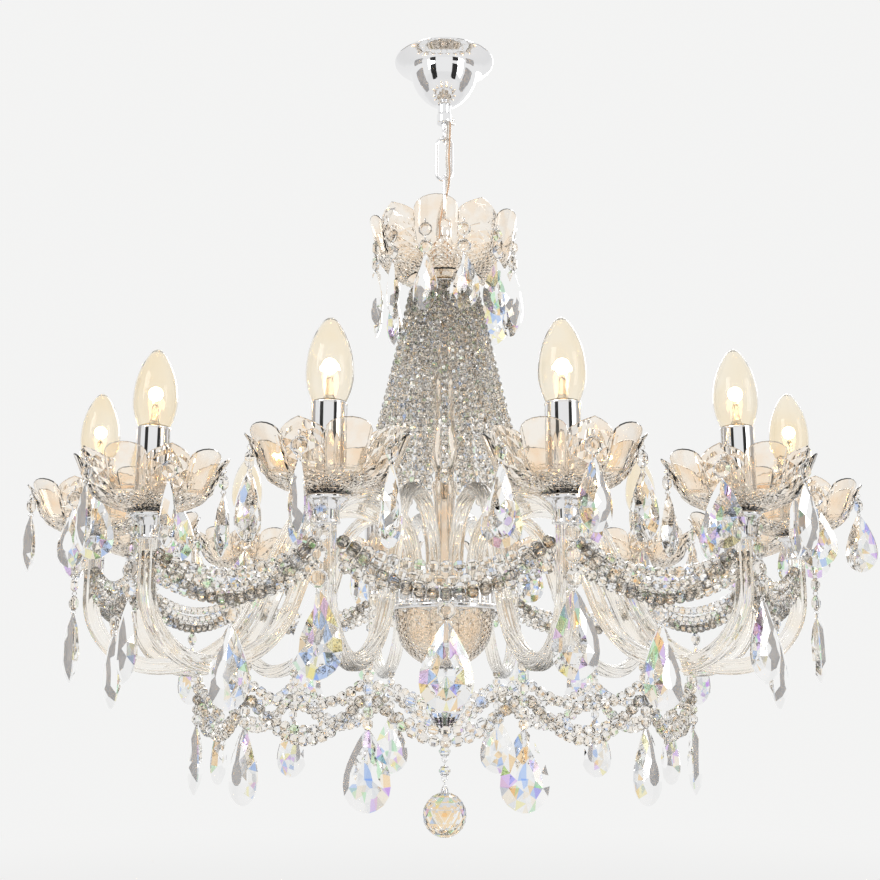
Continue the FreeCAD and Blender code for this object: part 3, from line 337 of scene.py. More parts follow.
def metal(name, colour, low, high, scale=40.0, spread=0.05):
    """Polished metal with faint haze and a slow change of tone."""
    mat, tree, shader = new_material(name, Metallic=1.0)
    coord, noise = noise_rough(tree, shader, scale, low, high)
    tone = add(tree, "TexNoise", {"Vector": coord.outputs["Object"]}, Scale=scale * 0.25)
    dark = tuple(c * (1 - spread) for c in colour)
    ramp = ramp_of(tree, tone.outputs["Fac"], [(0.35, dark), (0.65, colour)])
    link(tree, ramp.outputs["Color"], shader.inputs["Base Color"])
    add_bump(tree, shader, noise.outputs["Fac"], 0.03, 0.0004)
    return mat


def glass(name, clear, warm, low=0.0, high=0.03, scale=30.0, bump=0.05, ior=1.5):
    """Clear glass whose tint drifts at random between a clear and a warm tone, with faint waves in
    its surface. On the arm, bowl and bulb glass the warm tone is painted light: the warm glow of
    the bulbs seen through the glass.
    """
    mat, tree, shader = new_material(name, Transmission_Weight=1.0, IOR=ior)
    coord, noise = noise_rough(tree, shader, scale, low, high)
    ramp = ramp_of(tree, noise.outputs["Fac"], [(0.4, clear), (0.62, warm)])
    link(tree, ramp.outputs["Color"], shader.inputs["Base Color"])
    add_bump(tree, shader, noise.outputs["Fac"], bump, 0.0008)
    return mat


def crystal(name, stops, ior=1.6):
    """Cut crystal: each facet takes its own tone at random from the stops. The warm stops are
    painted warm bulb light, and a few facets get painted spectrum glints that stand in for
    dispersion.
    """
    mat, tree, shader = new_material(name, Transmission_Weight=1.0, IOR=ior)
    geometry = add(tree, "NewGeometry")
    coarse = add(tree, "VectorMath", {0: geometry.outputs["True Normal"]}, {"operation": "SNAP"})
    coarse.inputs[1].default_value = (0.07, 0.07, 0.07)
    hashed = add(tree, "TexWhiteNoise", mode={"noise_dimensions": "4D"}, feeds={
        "Vector": coarse.outputs["Vector"], "W": geometry.outputs["Random Per Island"]})
    # The facet colours include painted warm light and painted dispersion glints.
    ramp = ramp_of(tree, hashed.outputs["Value"], stops, constant=True)
    link(tree, ramp.outputs["Color"], shader.inputs["Base Color"])
    rough = add(tree, "MapRange", {"Value": hashed.outputs["Value"]}, To_Min=0.0, To_Max=0.03)
    link(tree, rough.outputs["Result"], shader.inputs["Roughness"])
    return mat


CHROME = metal("polished_chrome", (0.90, 0.90, 0.91), 0.02, 0.07)
GOLD = metal("pale_gold", (0.93, 0.80, 0.55), 0.05, 0.14)
STEEL = metal("zinc_steel", (0.66, 0.66, 0.65), 0.22, 0.42, 90.0, 0.15)
BRASS = metal("lamp_cap_brass", (0.80, 0.66, 0.38), 0.18, 0.35, 80.0, 0.12)
# The arm glass has a slight warm tint of its own, pushed warmer as painted warm bulb light.
ARM_GLASS = glass("ribbed_arm_glass", (0.995, 0.975, 0.94), (0.99, 0.93, 0.84), 0.0, 0.04, 35.0,
                  0.10)
# The peach tone of the bowl glass is painted light: the warm bulbs seen through the cut glass.
CUT_GLASS = glass("cut_bowl_glass", (1.0, 0.945, 0.87), (0.995, 0.87, 0.73), 0.0, 0.04, 70.0, 0.12)
# The amber tint of the bulb glass is painted glow from the filaments.
BULB_GLASS = glass("bulb_glass", (1.0, 0.96, 0.88), (1.0, 0.93, 0.80), 0.0, 0.01, 20.0, 0.02, 1.3)
WHITE = (0.98, 0.98, 0.975)
# Pendant facet tones. The white and grey stops are tones that differ at random. The warm stop at
# 0.70 is painted warm bulb light. The orange, green, blue, purple and yellow stops are painted
# glints that stand in for the crystal's dispersion.
PEAR_TONES_AND_PAINTED_GLINTS = [
    (0.0, WHITE), (0.34, (0.86, 0.88, 0.91)), (0.46, (0.62, 0.64, 0.68)), (0.52, WHITE),
    (0.70, (1.0, 0.87, 0.68)), (0.79, (0.98, 0.60, 0.26)), (0.83, (0.45, 0.85, 0.48)),
    (0.87, (0.30, 0.48, 0.98)), (0.92, (0.68, 0.42, 0.95)), (0.96, (0.97, 0.88, 0.35)),
]
# Bead facet tones. The white stop and the pale blue stop at 0.86 are tones that differ at random.
# The warm stops from 0.20 to 0.68 are painted warm bulb light. The orange, blue and green stops are
# painted glints that stand in for dispersion.
BEAD_TONES_AND_PAINTED_GLINTS = [
    (0.0, WHITE), (0.20, (1.0, 0.94, 0.86)), (0.62, (0.88, 0.84, 0.79)), (0.68, (1.0, 0.97, 0.93)),
    (0.86, (0.90, 0.93, 0.99)), (0.92, (0.99, 0.74, 0.48)), (0.955, (0.50, 0.64, 0.98)),
    (0.98, (0.64, 0.92, 0.55)),
]
PEAR_CRYSTAL = crystal("pendant_crystal", PEAR_TONES_AND_PAINTED_GLINTS)
BEAD_CRYSTAL = crystal("bead_crystal", BEAD_TONES_AND_PAINTED_GLINTS)


def filament_material():
    mat, tree, shader = new_material("filament_glow", Base_Color=(0.02, 0.01, 0.0, 1),
                                     Roughness=0.6)
    coord = add(tree, "TexCoord")
    wave = add(tree, "TexWave", {"Vector": coord.outputs["Object"]}, Scale=900.0)
    ramp = ramp_of(tree, wave.outputs["Fac"], [(0.0, (1.0, 0.70, 0.34)), (1.0, (1.0, 0.86, 0.60))])
    link(tree, ramp.outputs["Color"], shader.inputs["Emission Color"])
    shader.inputs["Emission Strength"].default_value = 22.0
    return mat


def plastic_material(name, colour, dark):
    mat, tree, shader = new_material(name)
    coord, noise = noise_rough(tree, shader, 120.0, 0.27, 0.43)
    ramp = ramp_of(tree, noise.outputs["Fac"], [(0.3, dark), (0.7, colour)])
    link(tree, ramp.outputs["Color"], shader.inputs["Base Color"])
    add_bump(tree, shader, noise.outputs["Fac"], 0.06, 0.0003)
    return mat


GLOW = filament_material()
HOLDER = plastic_material("lamp_holder_plastic", (0.86, 0.83, 0.76), (0.78, 0.75, 0.68))
JACKET = glass("clear_flex_jacket", (0.97, 0.95, 0.90), (0.95, 0.92, 0.86), 0.06, 0.14, 60.0, 0.08,
               1.35)
COPPER = metal("copper_core", (0.93, 0.62, 0.42), 0.15, 0.30, 200.0, 0.2)
TINNED = metal("tinned_core", (0.80, 0.80, 0.80), 0.15, 0.30, 200.0, 0.2)


def chromed(name, shape, node, smooth=40, material=CHROME, body="chandelier"):
    """A chromed piece, or one of another metal, in place of a CAD node."""
    return make(name, shape, material, body, smooth, [node])


def cut_glass(name, shape, node, smooth=9):
    return make(name, shape, CUT_GLASS, "chandelier", smooth, [node])


def crystals(node, shape, material=BEAD_CRYSTAL, body="chandelier"):
    """Flat-faceted crystal in place of a CAD node, and named after it."""
    return make(node + "_cut", shape, material, body, None, [node])


# ---------------------------------------------------------------- ceiling, chain and flex

def ceiling_parts():
    """Canopy, collar, eye bolt, links and the hidden hardware."""
    outer = [(50.6, 0.0), (51.5, -0.6), (51.3, -1.6), (46.5, -4.2), (40.5, -7.4), (36.6, -10.6),
             (34.8, -13.0),
             (34.2, -15.5), (33.4, -20), (31.2, -27), (27.4, -34), (21.9, -40.5), (16.6, -45.0),
             (12.6, -47.4),
             (9.2, -48.6), (7.6, -49.4), (6.7, -51.0), (6.6, -59.2), (6.2, -59.5)]
    inner = [(5.6, -59.5), (5.6, -48.8), (8.0, -47.6), (11.8, -46.4), (16.0, -44.0), (21.2, -39.6),
             (26.6, -33.2),
             (30.3, -26.4), (32.4, -19.8), (33.3, -13.2), (35.4, -9.8), (39.8, -6.4), (46.0, -3.2),
             (50.2, -0.6)]
    canopy = lathe(soften(outer + inner, 1.0, 2, True), 96, True)
    chromed("canopy_bell", canopy, "canopy", 50, body="ceiling_cup")

    ring = soften([(2.75, -69.8), (7.6, -69.8), (7.6, -59.8), (2.75, -59.8)], 0.9, 3, True)
    chromed("set_collar", lathe(ring, 64, True), "canopy_collar", body="ceiling_cup")
    screws = []
    for part in islands("collar_screws"):
        low, high = part.min(0), part.max(0)
        mid = (low + high) / 2
        way = math.degrees(math.atan2(mid[0], -mid[1]))
        away = np.hypot(part[:, 0], part[:, 1])
        reach, start = float(away.max()), float(away.min())
        head = [(0, 0), (1.25, 0), (1.3, 0.2), (1.3, reach - start - 0.4), (0.95, reach - start),
                (0.5, reach - start),
                (0.42, reach - start - 0.6), (0, reach - start - 0.6)]
        lay = Matrix.Rotation(math.radians(90), 4, "X")
        spot = Matrix.Rotation(math.radians(way), 4, "Z")
        screw = lathe(head, 20).copy(lay).at(0, -start, 0).copy(spot)
        screw.verts[:, 2] += mid[2]
        screws.append(screw)
    chromed("set_screws", join(screws), "collar_screws", 30, material=STEEL, body="ceiling_cup")

    shank = lathe(soften([(0, -78.5), (2.4, -78.3), (2.4, -2.2), (1.8, -1.5), (0, -1.5)], 0.3, 2),
                  32)
    eye = ring_wire(*EYE).at(0, 0, -83.9, 90)
    chromed("eye_bolt_smooth", join([shank, eye]), "eye_bolt", body="ceiling")

    def link_points(length, width):
        bend = width / 2 - LINK_WIRE
        straight = length / 2 - LINK_WIRE - bend
        pts = []
        for centre, start in ((straight, 0), (-straight, 180)):
            for k in range(19):
                t = math.radians(start + 10 * k)
                pts.append((bend * math.cos(t), 0, centre + bend * math.sin(t)))
        return pts

    for name, node, body in (("chain_link_upper_smooth", "chain_link_upper", "upper_link"),
                             ("chain_link_lower_smooth", "chain_link_lower", "lower_link")):
        low, high = box_mm(node)
        turn = 0 if high[0] - low[0] > high[1] - low[1] else 90
        width = max(high[0] - low[0], high[1] - low[1])
        wire = tube(link_points(high[2] - low[2], width), LINK_WIRE, 20, True, side_hint=(0, 1, 0))
        make(name, wire.at(0, 0, (low[2] + high[2]) / 2, turn), CHROME, body, 60, [node])
    for node in ("ceiling_strap", "bolt_nuts"):
        set_material(node, STEEL)
    set_material("terminal_block", HOLDER)


def set_material(node, material):
    data = NODES[node].data
    data.materials.clear()
    data.materials.append(material)


FLEX_ROUTE = (
    (5.0, -2.6), (4.6, -4.4), (3.4, -4.9), (4.8, -4.6),
    (1.4, -1.6), (-4.2, -3.6), (-6.4, -7.3), (-5.6, -8.4), (-5.6, -7.8),
)
FLEX_TOP = -70.1
FLEX_LOW = box_mm("upper_cup")[1][2] + 0.3


def flex_line():
    """Points of the flex's centre line: a NURBS line through its route, in millimetres."""
    curve = bpy.data.curves.new("flex_route", "CURVE")
    curve.dimensions = "3D"
    curve.resolution_u = 24
    spline = curve.splines.new("NURBS")
    spline.points.add(len(FLEX_ROUTE) - 1)
    for k, (x, y) in enumerate(FLEX_ROUTE):
        z = FLEX_TOP + (FLEX_LOW - FLEX_TOP) * k / (len(FLEX_ROUTE) - 1)
        spline.points[k].co = (x * MM, y * MM, z * MM, 1)
    spline.order_u = 3
    spline.use_endpoint_u = True
    holder = bpy.data.objects.new("flex_route", curve)
    bpy.context.scene.collection.objects.link(holder)
    graph = bpy.context.evaluated_depsgraph_get()
    mesh = bpy.data.meshes.new_from_object(holder.evaluated_get(graph))
    line = np.array([v.co for v in mesh.vertices], float) / MM
    bpy.data.objects.remove(holder)
    bpy.data.curves.remove(curve)
    bpy.data.meshes.remove(mesh)
    return line


def supply_flex():
    """Clear twin flex with a copper and a tinned core, made as three spans down the chain."""
    line = flex_line()
    turns = np.linspace(0, 2 * math.pi, 20, endpoint=False)
    oval = [(2.5 * math.cos(t), 1.55 * math.sin(t)) for t in turns]
    spans = (("ceiling", "upper_link", FLEX_TOP, -111.0, (-76.0, -104.0)),
             ("upper_link", "lower_link", -111.0, -154.0, (-118.0, -147.0)),
             ("lower_link", "chandelier", -154.0, FLEX_LOW, (-161.0, -190.0)))
    turn = np.array((0.9, -0.3, 0.1))
    ways = np.gradient(line, axis=0)
    ways /= np.linalg.norm(ways, axis=1)[:, None]
    sides = []
    for way in ways:
        turn = turn - way * turn.dot(way)
        turn /= np.linalg.norm(turn)
        sides.append(turn.copy())
    sides = np.array(sides)
    for k, (a, b, top, low, (start, end)) in enumerate(spans):
        pick = np.where((line[:, 2] <= top + 0.6) & (line[:, 2] >= low - 0.6))[0]
        part = line[pick]
        first = sides[pick[0]]
        shapes = (("flex_jacket_%d" % (k + 1), tube(part, 1, section=oval, side_hint=first), JACKET,
                   0),
                  ("flex_core_copper_%d" % (k + 1), core(part, sides[pick], 1.15), COPPER, 1),
                  ("flex_core_tinned_%d" % (k + 1), core(part, sides[pick], -1.15), TINNED, 1))
        for name, shape, material, inner in shapes:
            obj = make(name, shape, material, None, 60)
            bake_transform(obj)
            if not inner:
                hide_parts("supply_flex")


def core(line, sides, offset):
    """One stranded core inside the flex."""
    points = line + sides * offset
    section = []
    for k in range(28):
        t = 2 * math.pi * k / 28
        r = 0.72 * (0.86 + 0.14 * abs(math.cos(3.5 * t)))
        section.append((r * math.cos(t), r * math.sin(t)))
    return tube(points, 1, section=section, side_hint=sides[0])


# ---------------------------------------------------------------- stem, dishes and hub

def along(spots, run, columns):
    """Each column's values at some spots along a line."""
    return np.stack([np.interp(spots, run, column) for column in columns.T], -1)


def lengths(points):
    """Length along a line of points, up to each one."""
    return np.r_[0, np.cumsum(np.linalg.norm(np.diff(points, axis=0), axis=1))]


def even_out(line, times):
    """Draw each inner point of a line towards its neighbours."""
    for _ in range(times):
        line[1:-1] = (line[:-2] + 2 * line[1:-1] + line[2:]) / 4


def bore_ring(profile, bore, sides=64, reach=0.8, **ribs):
    """A piece threaded on the stem from its outer outline, listed upwards."""
    low, high = profile[0][1], profile[-1][1]
    return lathe(soften([(bore, low)] + list(profile) + [(bore, high)], reach, 2, True), sides,
                 True, **ribs)


def dish_shape(tip, height, belly, belly_height, foot, bore, petal_drop, rows=20, per=8, cell=2,
               cut=0.8,
               cut_all=False):
    """A glass dish with ten petals, plain and cut in turn, its floor at the origin.

    The cut petals and the belly carry a lattice of small pyramids: rows high, per wide to a petal.
    """
    wall, rim_wall = 3.5, 1.5
    knots = np.array([(foot, 0.0), (foot + (belly - foot) * 0.55, belly_height * 0.36),
                      (belly, belly_height),
                      (belly + (tip - belly) * 0.42, belly_height + (height - belly_height) * 0.46),
                      (tip, height)])
    cols = PETALS * per
    belly_rows = rows * 0.42
    step = 2 * math.pi / PETALS
    spots = np.linspace(0, 1, len(knots))
    fine = np.linspace(0, 1, 41)
    curve = along(fine, spots, knots)
    even_out(curve, 30)
    slope = np.gradient(curve, axis=0)
    slope /= np.linalg.norm(slope, axis=1)[:, None]
    out_way = np.stack([slope[:, 1], -slope[:, 0]], 1)
    run = lengths(curve)

    def grid(inward):
        rows_out = []
        for i in range(rows + 1):
            ring = []
            for p in range(PETALS):
                for j in range(per):
                    t = math.pi * (j / per - 0.5)
                    u = math.sin(t)
                    arch = math.cos(t) ** 0.9
                    if p % 2:
                        arch = 0.25 * math.cos(t) + 0.75 * (1 - abs(u)) ** 0.9
                    top = np.interp(height - petal_drop * (1 - arch), curve[:, 1], run)
                    share = i / rows
                    spot = share * top
                    (r, z), (ox, oz) = along(spot, run, curve), along(spot, run, out_way)
                    bulge = 0.045 * tip * (math.cos(t) - 1.0) * share ** 1.5
                    thick = wall + (rim_wall - wall) * share
                    r += bulge - inward * thick * ox
                    z -= inward * thick * oz
                    a = step * (p + u / 2)
                    ring.append((r * math.sin(a), -r * math.cos(a), z))
            rows_out.append(ring)
        return np.array(rows_out)

    outer = grid(0.0)
    inner = grid(1.0)
    inner[:3, :, 2] = np.maximum(inner[:3, :, 2], wall)
    rim = (outer[-1] + inner[-1]) / 2
    rim[:, 2] += rim_wall * 0.45
    away = np.gradient(outer, axis=0)
    across = np.roll(outer, -1, 1) - np.roll(outer, 1, 1)
    normal = np.cross(across, away)
    normal /= np.maximum(1e-9, np.linalg.norm(normal, axis=2))[:, :, None]

    def studded(i, j):
        return cut_all or i < belly_rows or (j // per) % 2

    for i in range(1, rows):
        for j in range(cols):
            if not studded(i, j):
                continue
            period = 2 * cell if i > belly_rows and not cut_all else 2
            peak = min(1 - abs(2 * (k % period) / period - 1) for k in (i + j, i - j))
            outer[i, j] -= normal[i, j] * cut * (1 - peak) * period / (2 * cell)
    around = np.arctan2(outer[0, :, 0], -outer[0, :, 1])
    lip = np.stack([bore * np.sin(around), -bore * np.cos(around), np.zeros(cols)], 1)
    rings = np.concatenate([[lip], outer, [rim], inner[::-1], [lip + (0, 0, wall)]])
    faces = []
    for k in range(len(rings)):
        row, here, above = k - 1, k * cols, (k + 1) % len(rings) * cols
        for j in range(cols):
            n = (j + 1) % cols
            a, b, c, d = here + j, here + n, above + n, above + j
            if not (0 <= row < rows and studded(row, j)):
                # The inner face is split along the other diagonal.
                inside = rows + 1 < row < 2 * rows + 2
                faces.append((d, a, b, c) if inside else (a, b, c, d))
            elif (row + j) % 2:
                faces += [(a, b, d), (b, c, d)]
            else:
                faces += [(a, b, c), (a, c, d)]
    return Shape(rings, faces)


def stem_parts():
    """Stem, cups, dishes, centre glass, hub and what closes it."""
    socket = lathe(soften([(0, -197.2), (6.5, -197.2), (6.5, -186.3), (4.6, -185.2), (0, -185.0)],
                          0.8, 3), 48)
    eye = ring_wire(*EYE).at(0, 0, -181.3)
    chromed("stem_eye_smooth", join([socket, eye]), "stem_eye")
    low, high = box_mm("stem_tube")
    tube_line = lathe([(4.0, low[2]), (5.0, low[2]), (5.0, high[2]), (4.0, high[2])], 48, True)
    chromed("stem_tube_smooth", tube_line, "stem_tube")

    floor = box_mm("top_dish")[0][2]
    dish = dish_shape(76, -180 - floor, 68, 0.34 * (-180 - floor), 38, DISH_BORE, 13, 24, 12, 2,
                      1.8)
    dish = dish.at(0, 0, floor, DISH_TURN)
    cut_glass("top_dish_cut", dish, "top_dish")
    z, h = span("upper_cup")
    cup = bore_ring([(11.6, 0), (12, 1.2), (11.4, 2.4), (8.2, 3.6), (7.6, h)], STEM_BORE, 64,
                    0.6).at(0, 0, z)
    chromed("upper_cup_smooth", cup, "upper_cup")
    z, h = span("lower_cup")
    cup = bore_ring([(8.4, 0), (8.6, h * 0.5), (9.4, h * 0.72), (11.6, h * 0.8), (12.2, h * 0.9),
                     (12.0, h)],
                    STEM_BORE, 64, 0.5).at(0, 0, z)
    chromed("lower_cup_smooth", cup, "lower_cup", material=GOLD)
    low, high = box_mm("strand_crown")
    crown = bore_ring([(high[0] - 1, 0), (high[0], 0.5), (high[0], 1.1), (high[0] - 0.8, 1.5)],
                      STEM_BORE, 96, 0.3)
    crown = crown.at(0, 0, low[2])
    chromed("strand_crown_smooth", crown, "strand_crown")

    for node, slim, wide in (("neck_glass", 9, 13), ("middle_glass", 10, 17),
                             ("lower_glass", 10, 15)):
        z, h = span(node)
        outline = [(slim * 0.94, 0), (slim, h * 0.04), (slim * 0.92, h * 0.08),
                   (wide * 0.86, h * 0.2), (wide, h * 0.3),
                   (wide * 0.9, h * 0.42), (slim * 1.05, h * 0.6), (slim, h * 0.66),
                   (wide * 0.72, h * 0.84),
                   (wide * 0.88, h * 0.95), (wide * 0.8, h)]
        shape = bore_ring(outline, STEM_BORE, 80, 1.6, ribs=10, depth=0.16).at(0, 0, z)
        cut_glass(node + "_cut", shape, node, 28)

    z, h = span("hub_plate")
    plate = bore_ring([(50.6, 0), (52, 1.0), (52, h - 1.0), (50.8, h)], STEM_BORE, 96, 0.7)
    plate = plate.at(0, 0, z)
    chromed("hub_plate_smooth", plate, "hub_plate")
    foot = soften([(0, -566), (9.1, -566), (9.1, -563.5), (8.5, -562.6), (8.5, -553.6),
                   (8.9, -552.6), (8.2, -552),
                   (0, -552)], 0.5, 2)
    chromed("arm_feet", round_lamps(lathe(foot, 40), FOOT_RADIUS), "arm_ferrules")
    dish = dish_shape(49, 50, 44, 21, 20, DISH_BORE, 4.5, 20, 8, 1, 0.7, True).at(0, 0, -621.3)
    cut_glass("hub_dish_cut", dish, "hub_dish")
    z, h = span("bottom_cup")
    cup = bore_ring([(6.6, 0), (7.6, 1.0), (8.0, h * 0.55), (9.8, h * 0.78), (10.0, h)], STEM_BORE,
                    48, 0.5).at(0, 0, z)
    chromed("bottom_cup_smooth", cup, "bottom_cup")

    z, h = span("glass_spike")
    outline = [(2.9, 0), (8.6, h * 0.16), (14.6, h * 0.32), (18.6, h * 0.44), (18.8, h * 0.50),
               (16.2, h * 0.66),
               (12.2, h * 0.86), (10.0, h * 0.97), (9.2, h)]
    spike = lathe([(1.9, 0)] + outline + [(1.9, h)], 16, True).at(0, 0, z)
    make("spike_cut", spike, PEAR_CRYSTAL, "chandelier", None, ["glass_spike"])
    low, high = box_mm("tie_rod")
    rod = lathe([(0, low[2] + 4.2), (1.6, low[2] + 4.6), (1.6, high[2] - 5), (3.9, high[2] - 5),
                 (3.9, high[2]),
                 (0, high[2])], 32)
    eye = ring_wire(*LOOP).at(0, 0, low[2] + LOOP_DROP)
    chromed("tie_rod_smooth", join([rod, eye]), "tie_rod")


# ---------------------------------------------------------------- arms and lamps

def arm_line():
    """Centre line of an arm: (radius, height) points from the hub up to its lamp."""
    lean = 24.0
    line = [(FOOT_RADIUS, z) for z in (-560.0, -545.0, -538.0)]

    def arc(cr, cz, radius, first, last, step=6.0):
        count = max(2, int(abs(last - first) / step))
        for k in range(count + 1):
            a = math.radians(first + (last - first) * k / count)
            line.append((cr + radius * math.cos(a), cz + radius * math.sin(a)))

    arc(99.0, -530.0, 59.0, 180, lean)
    end_r, end_z = line[-1]
    bend, low = 86.0, -625.0
    start_z = low + bend - bend * math.cos(math.radians(90 - lean))
    run = (end_z - start_z) / math.cos(math.radians(lean))
    start_r = end_r + run * math.sin(math.radians(lean))
    for k in range(1, 6):
        line.append((end_r + (start_r - end_r) * k / 6, end_z + (start_z - end_z) * k / 6))
    bend_r = start_r + bend * math.cos(math.radians(lean))
    arc(bend_r, low + bend, bend, 180 + lean, 270)
    arc(LAMP_RADIUS - 60, low + 60, 60.0, 270, 360)
    line += [(LAMP_RADIUS, z) for z in (-555.0, -540.0, -522.4)]
    clean = [line[0]]
    for p in line[1:]:
        if math.hypot(p[0] - clean[-1][0], p[1] - clean[-1][1]) > 1.5:
            clean.append(p)
    return clean


def glass_arms():
    """Twelve S-shaped arms of clear glass with ten soft ribs."""
    section = []
    for k in range(60):
        t = 2 * math.pi * k / 60
        r = 7.25 * (0.90 + 0.10 * abs(math.cos(5 * t)) ** 0.8)
        section.append((r * math.cos(t), r * math.sin(t)))
    points = [(0, -r, z) for r, z in arm_line()]
    arm = tube(points, 1, section=section, side_hint=(1, 0, 0))
    make("ribbed_arms", round_lamps(arm, 0), ARM_GLASS, "chandelier", 30, ["glass_arms"])


def lamps():
    """Bowls, end cups, sleeves, holders, caps, bulbs and filaments, twelve of each."""
    bowl = dish_shape(60, 44, 47, 13, 17, 5.7, 9, 18, 10, 2, 1.6).at(0, 0, -511, BOWL_TURN)
    cut_glass("bowls_cut", round_lamps(bowl), "lamp_bowls")

    cup = [(0, -531.3), (8.6, -531.3), (9.6, -530.6), (9.2, -529.2), (8.9, -527.2), (9.0, -521.5),
           (10.4, -517.8),
           (12.6, -515.4), (14.8, -514.2), (15.5, -513.2), (15.5, -511.9), (14.9, -511.3),
           (0, -511.3)]
    cup = lathe(soften(cup, 0.5, 2), 56)
    chromed("end_cups", round_lamps(cup), "arm_end_cups")
    low, high = box_mm("lamp_nipples")
    thread = [(0, low[2])]
    z = low[2]
    while z < high[2] - 0.9:
        thread += [(4.3, z), (4.8, z + 0.45)]
        z += 0.9
    thread += [(4.3, high[2]), (0, high[2])]
    chromed("nipples", round_lamps(lathe(thread, 24)), "lamp_nipples", 20, material=STEEL)

    sleeve = soften([(12.1, -507.2), (13.0, -507.2), (13.0, -445.4), (13.3, -444.9), (13.2, -443.9),
                     (12.5, -443.6),
                     (12.1, -444.2)], 0.3, 2, True)
    chromed("sleeves", round_lamps(lathe(sleeve, 64, True)), "candle_sleeves", 50)
    low, high = box_mm("lamp_holders")
    holder = soften([(0, low[2]), (10.6, low[2]), (10.8, high[2] - 1.2), (9.6, high[2]),
                     (7.4, high[2]),
                     (7.3, high[2] - 18.5), (0, high[2] - 18.5)], 0.4, 2)
    make("holders", round_lamps(lathe(holder, 40)), HOLDER, "chandelier", 40, ["lamp_holders"])
    low, high = box_mm("bulb_caps")
    screw = [(0, low[2] + 0.2), (2.6, low[2] + 0.2), (3.4, low[2] + 1.6), (5.6, low[2] + 2.6)]
    z = low[2] + 3.4
    while z < high[2] - 3.4:
        screw += [(6.2, z), (6.8, z + 1.4)]
        z += 2.8
    screw += [(6.8, high[2] - 1.2), (6.9, high[2]), (0, high[2])]
    make("screw_caps", round_lamps(lathe(screw, 32)), BRASS, "chandelier", 35, ["bulb_caps"])

    base = BULB_BASE
    knots = [(12.0, 0.0), (13.2, 3.0), (15.6, 9.0), (17.1, 16.0), (17.5, 22.0), (17.1, 29.0),
             (15.9, 37.0), (13.6, 45.0),
             (10.6, 52.0), (7.2, 58.0), (4.6, 61.4), (2.4, 63.3), (0.0, 64.0)]
    fine = spline_points(knots, 26)
    skin = 0.55
    inner = [(max(0.0, r - skin), max(0.6, z - skin * (1.0 if z > 50 else 0.2))) for r,
             z in fine[:-1]]
    outline = [(0.0, base)] + [(r, base + z) for r, z in fine]
    cavity = [(0.0, base + 0.6)] + [(r, base + z) for r, z in inner[:-1]] + [(0.0, base + 63.3)]
    outside = lathe(outline, 40)
    inside = lathe(cavity, 40)
    inside.faces = [tuple(reversed(f)) for f in inside.faces]
    bulbs = make("candle_bulbs", round_lamps(join([outside, inside])), BULB_GLASS, "chandelier", 50,
                 ["bulbs"])
    bulbs.visible_shadow = False

    mount = lathe(soften([(0, base + 0.8), (5.2, base + 0.8), (3.4, base + 5), (2.5, base + 12),
                          (2.7, base + 17),
                          (1.6, base + 19.5), (0, base + 20)], 0.8, 2), 24)
    make("bulb_mounts", round_lamps(mount), ARM_GLASS, "chandelier", 40)
    wires = []
    for side in (-1, 1):
        wires.append(tube([(side * 1.2, 0, base + 15), (side * 2.4, 0, base + 19),
                           (side * 6.4, 0, base + 25)], 0.28, 8))
    wires.append(tube([(0, 0, base + 18), (0, 0.4, base + 24), (0, 0.2, base + 29.5)], 0.22, 8))
    coil = []
    turns = 22
    for k in range(turns * 8 + 1):
        t = k / (turns * 8)
        x = -7.0 + 14.0 * t
        z = base + 25 + 5.0 * math.sin(math.pi * t) ** 0.8
        a = 2 * math.pi * k / 8
        coil.append((x, 1.5 * math.cos(a), z + 1.5 * math.sin(a)))
    make("filament_supports", round_lamps(join(wires)), TINNED, "chandelier", 50)
    make("filaments", round_lamps(tube(coil, 0.5, 6)), GLOW, "chandelier", 60)


def spline_points(knots, count):
    """Points evenly spaced along a smooth line through the knots."""
    pts = np.array(knots, float)
    run = lengths(pts)
    line = along(np.linspace(0, run[-1], count * 6), run, pts)
    even_out(line, 10)
    run = lengths(line)
    return [tuple(p) for p in along(np.linspace(0, run[-1], count), run, line).tolist()]


# ---------------------------------------------------------------- crystals

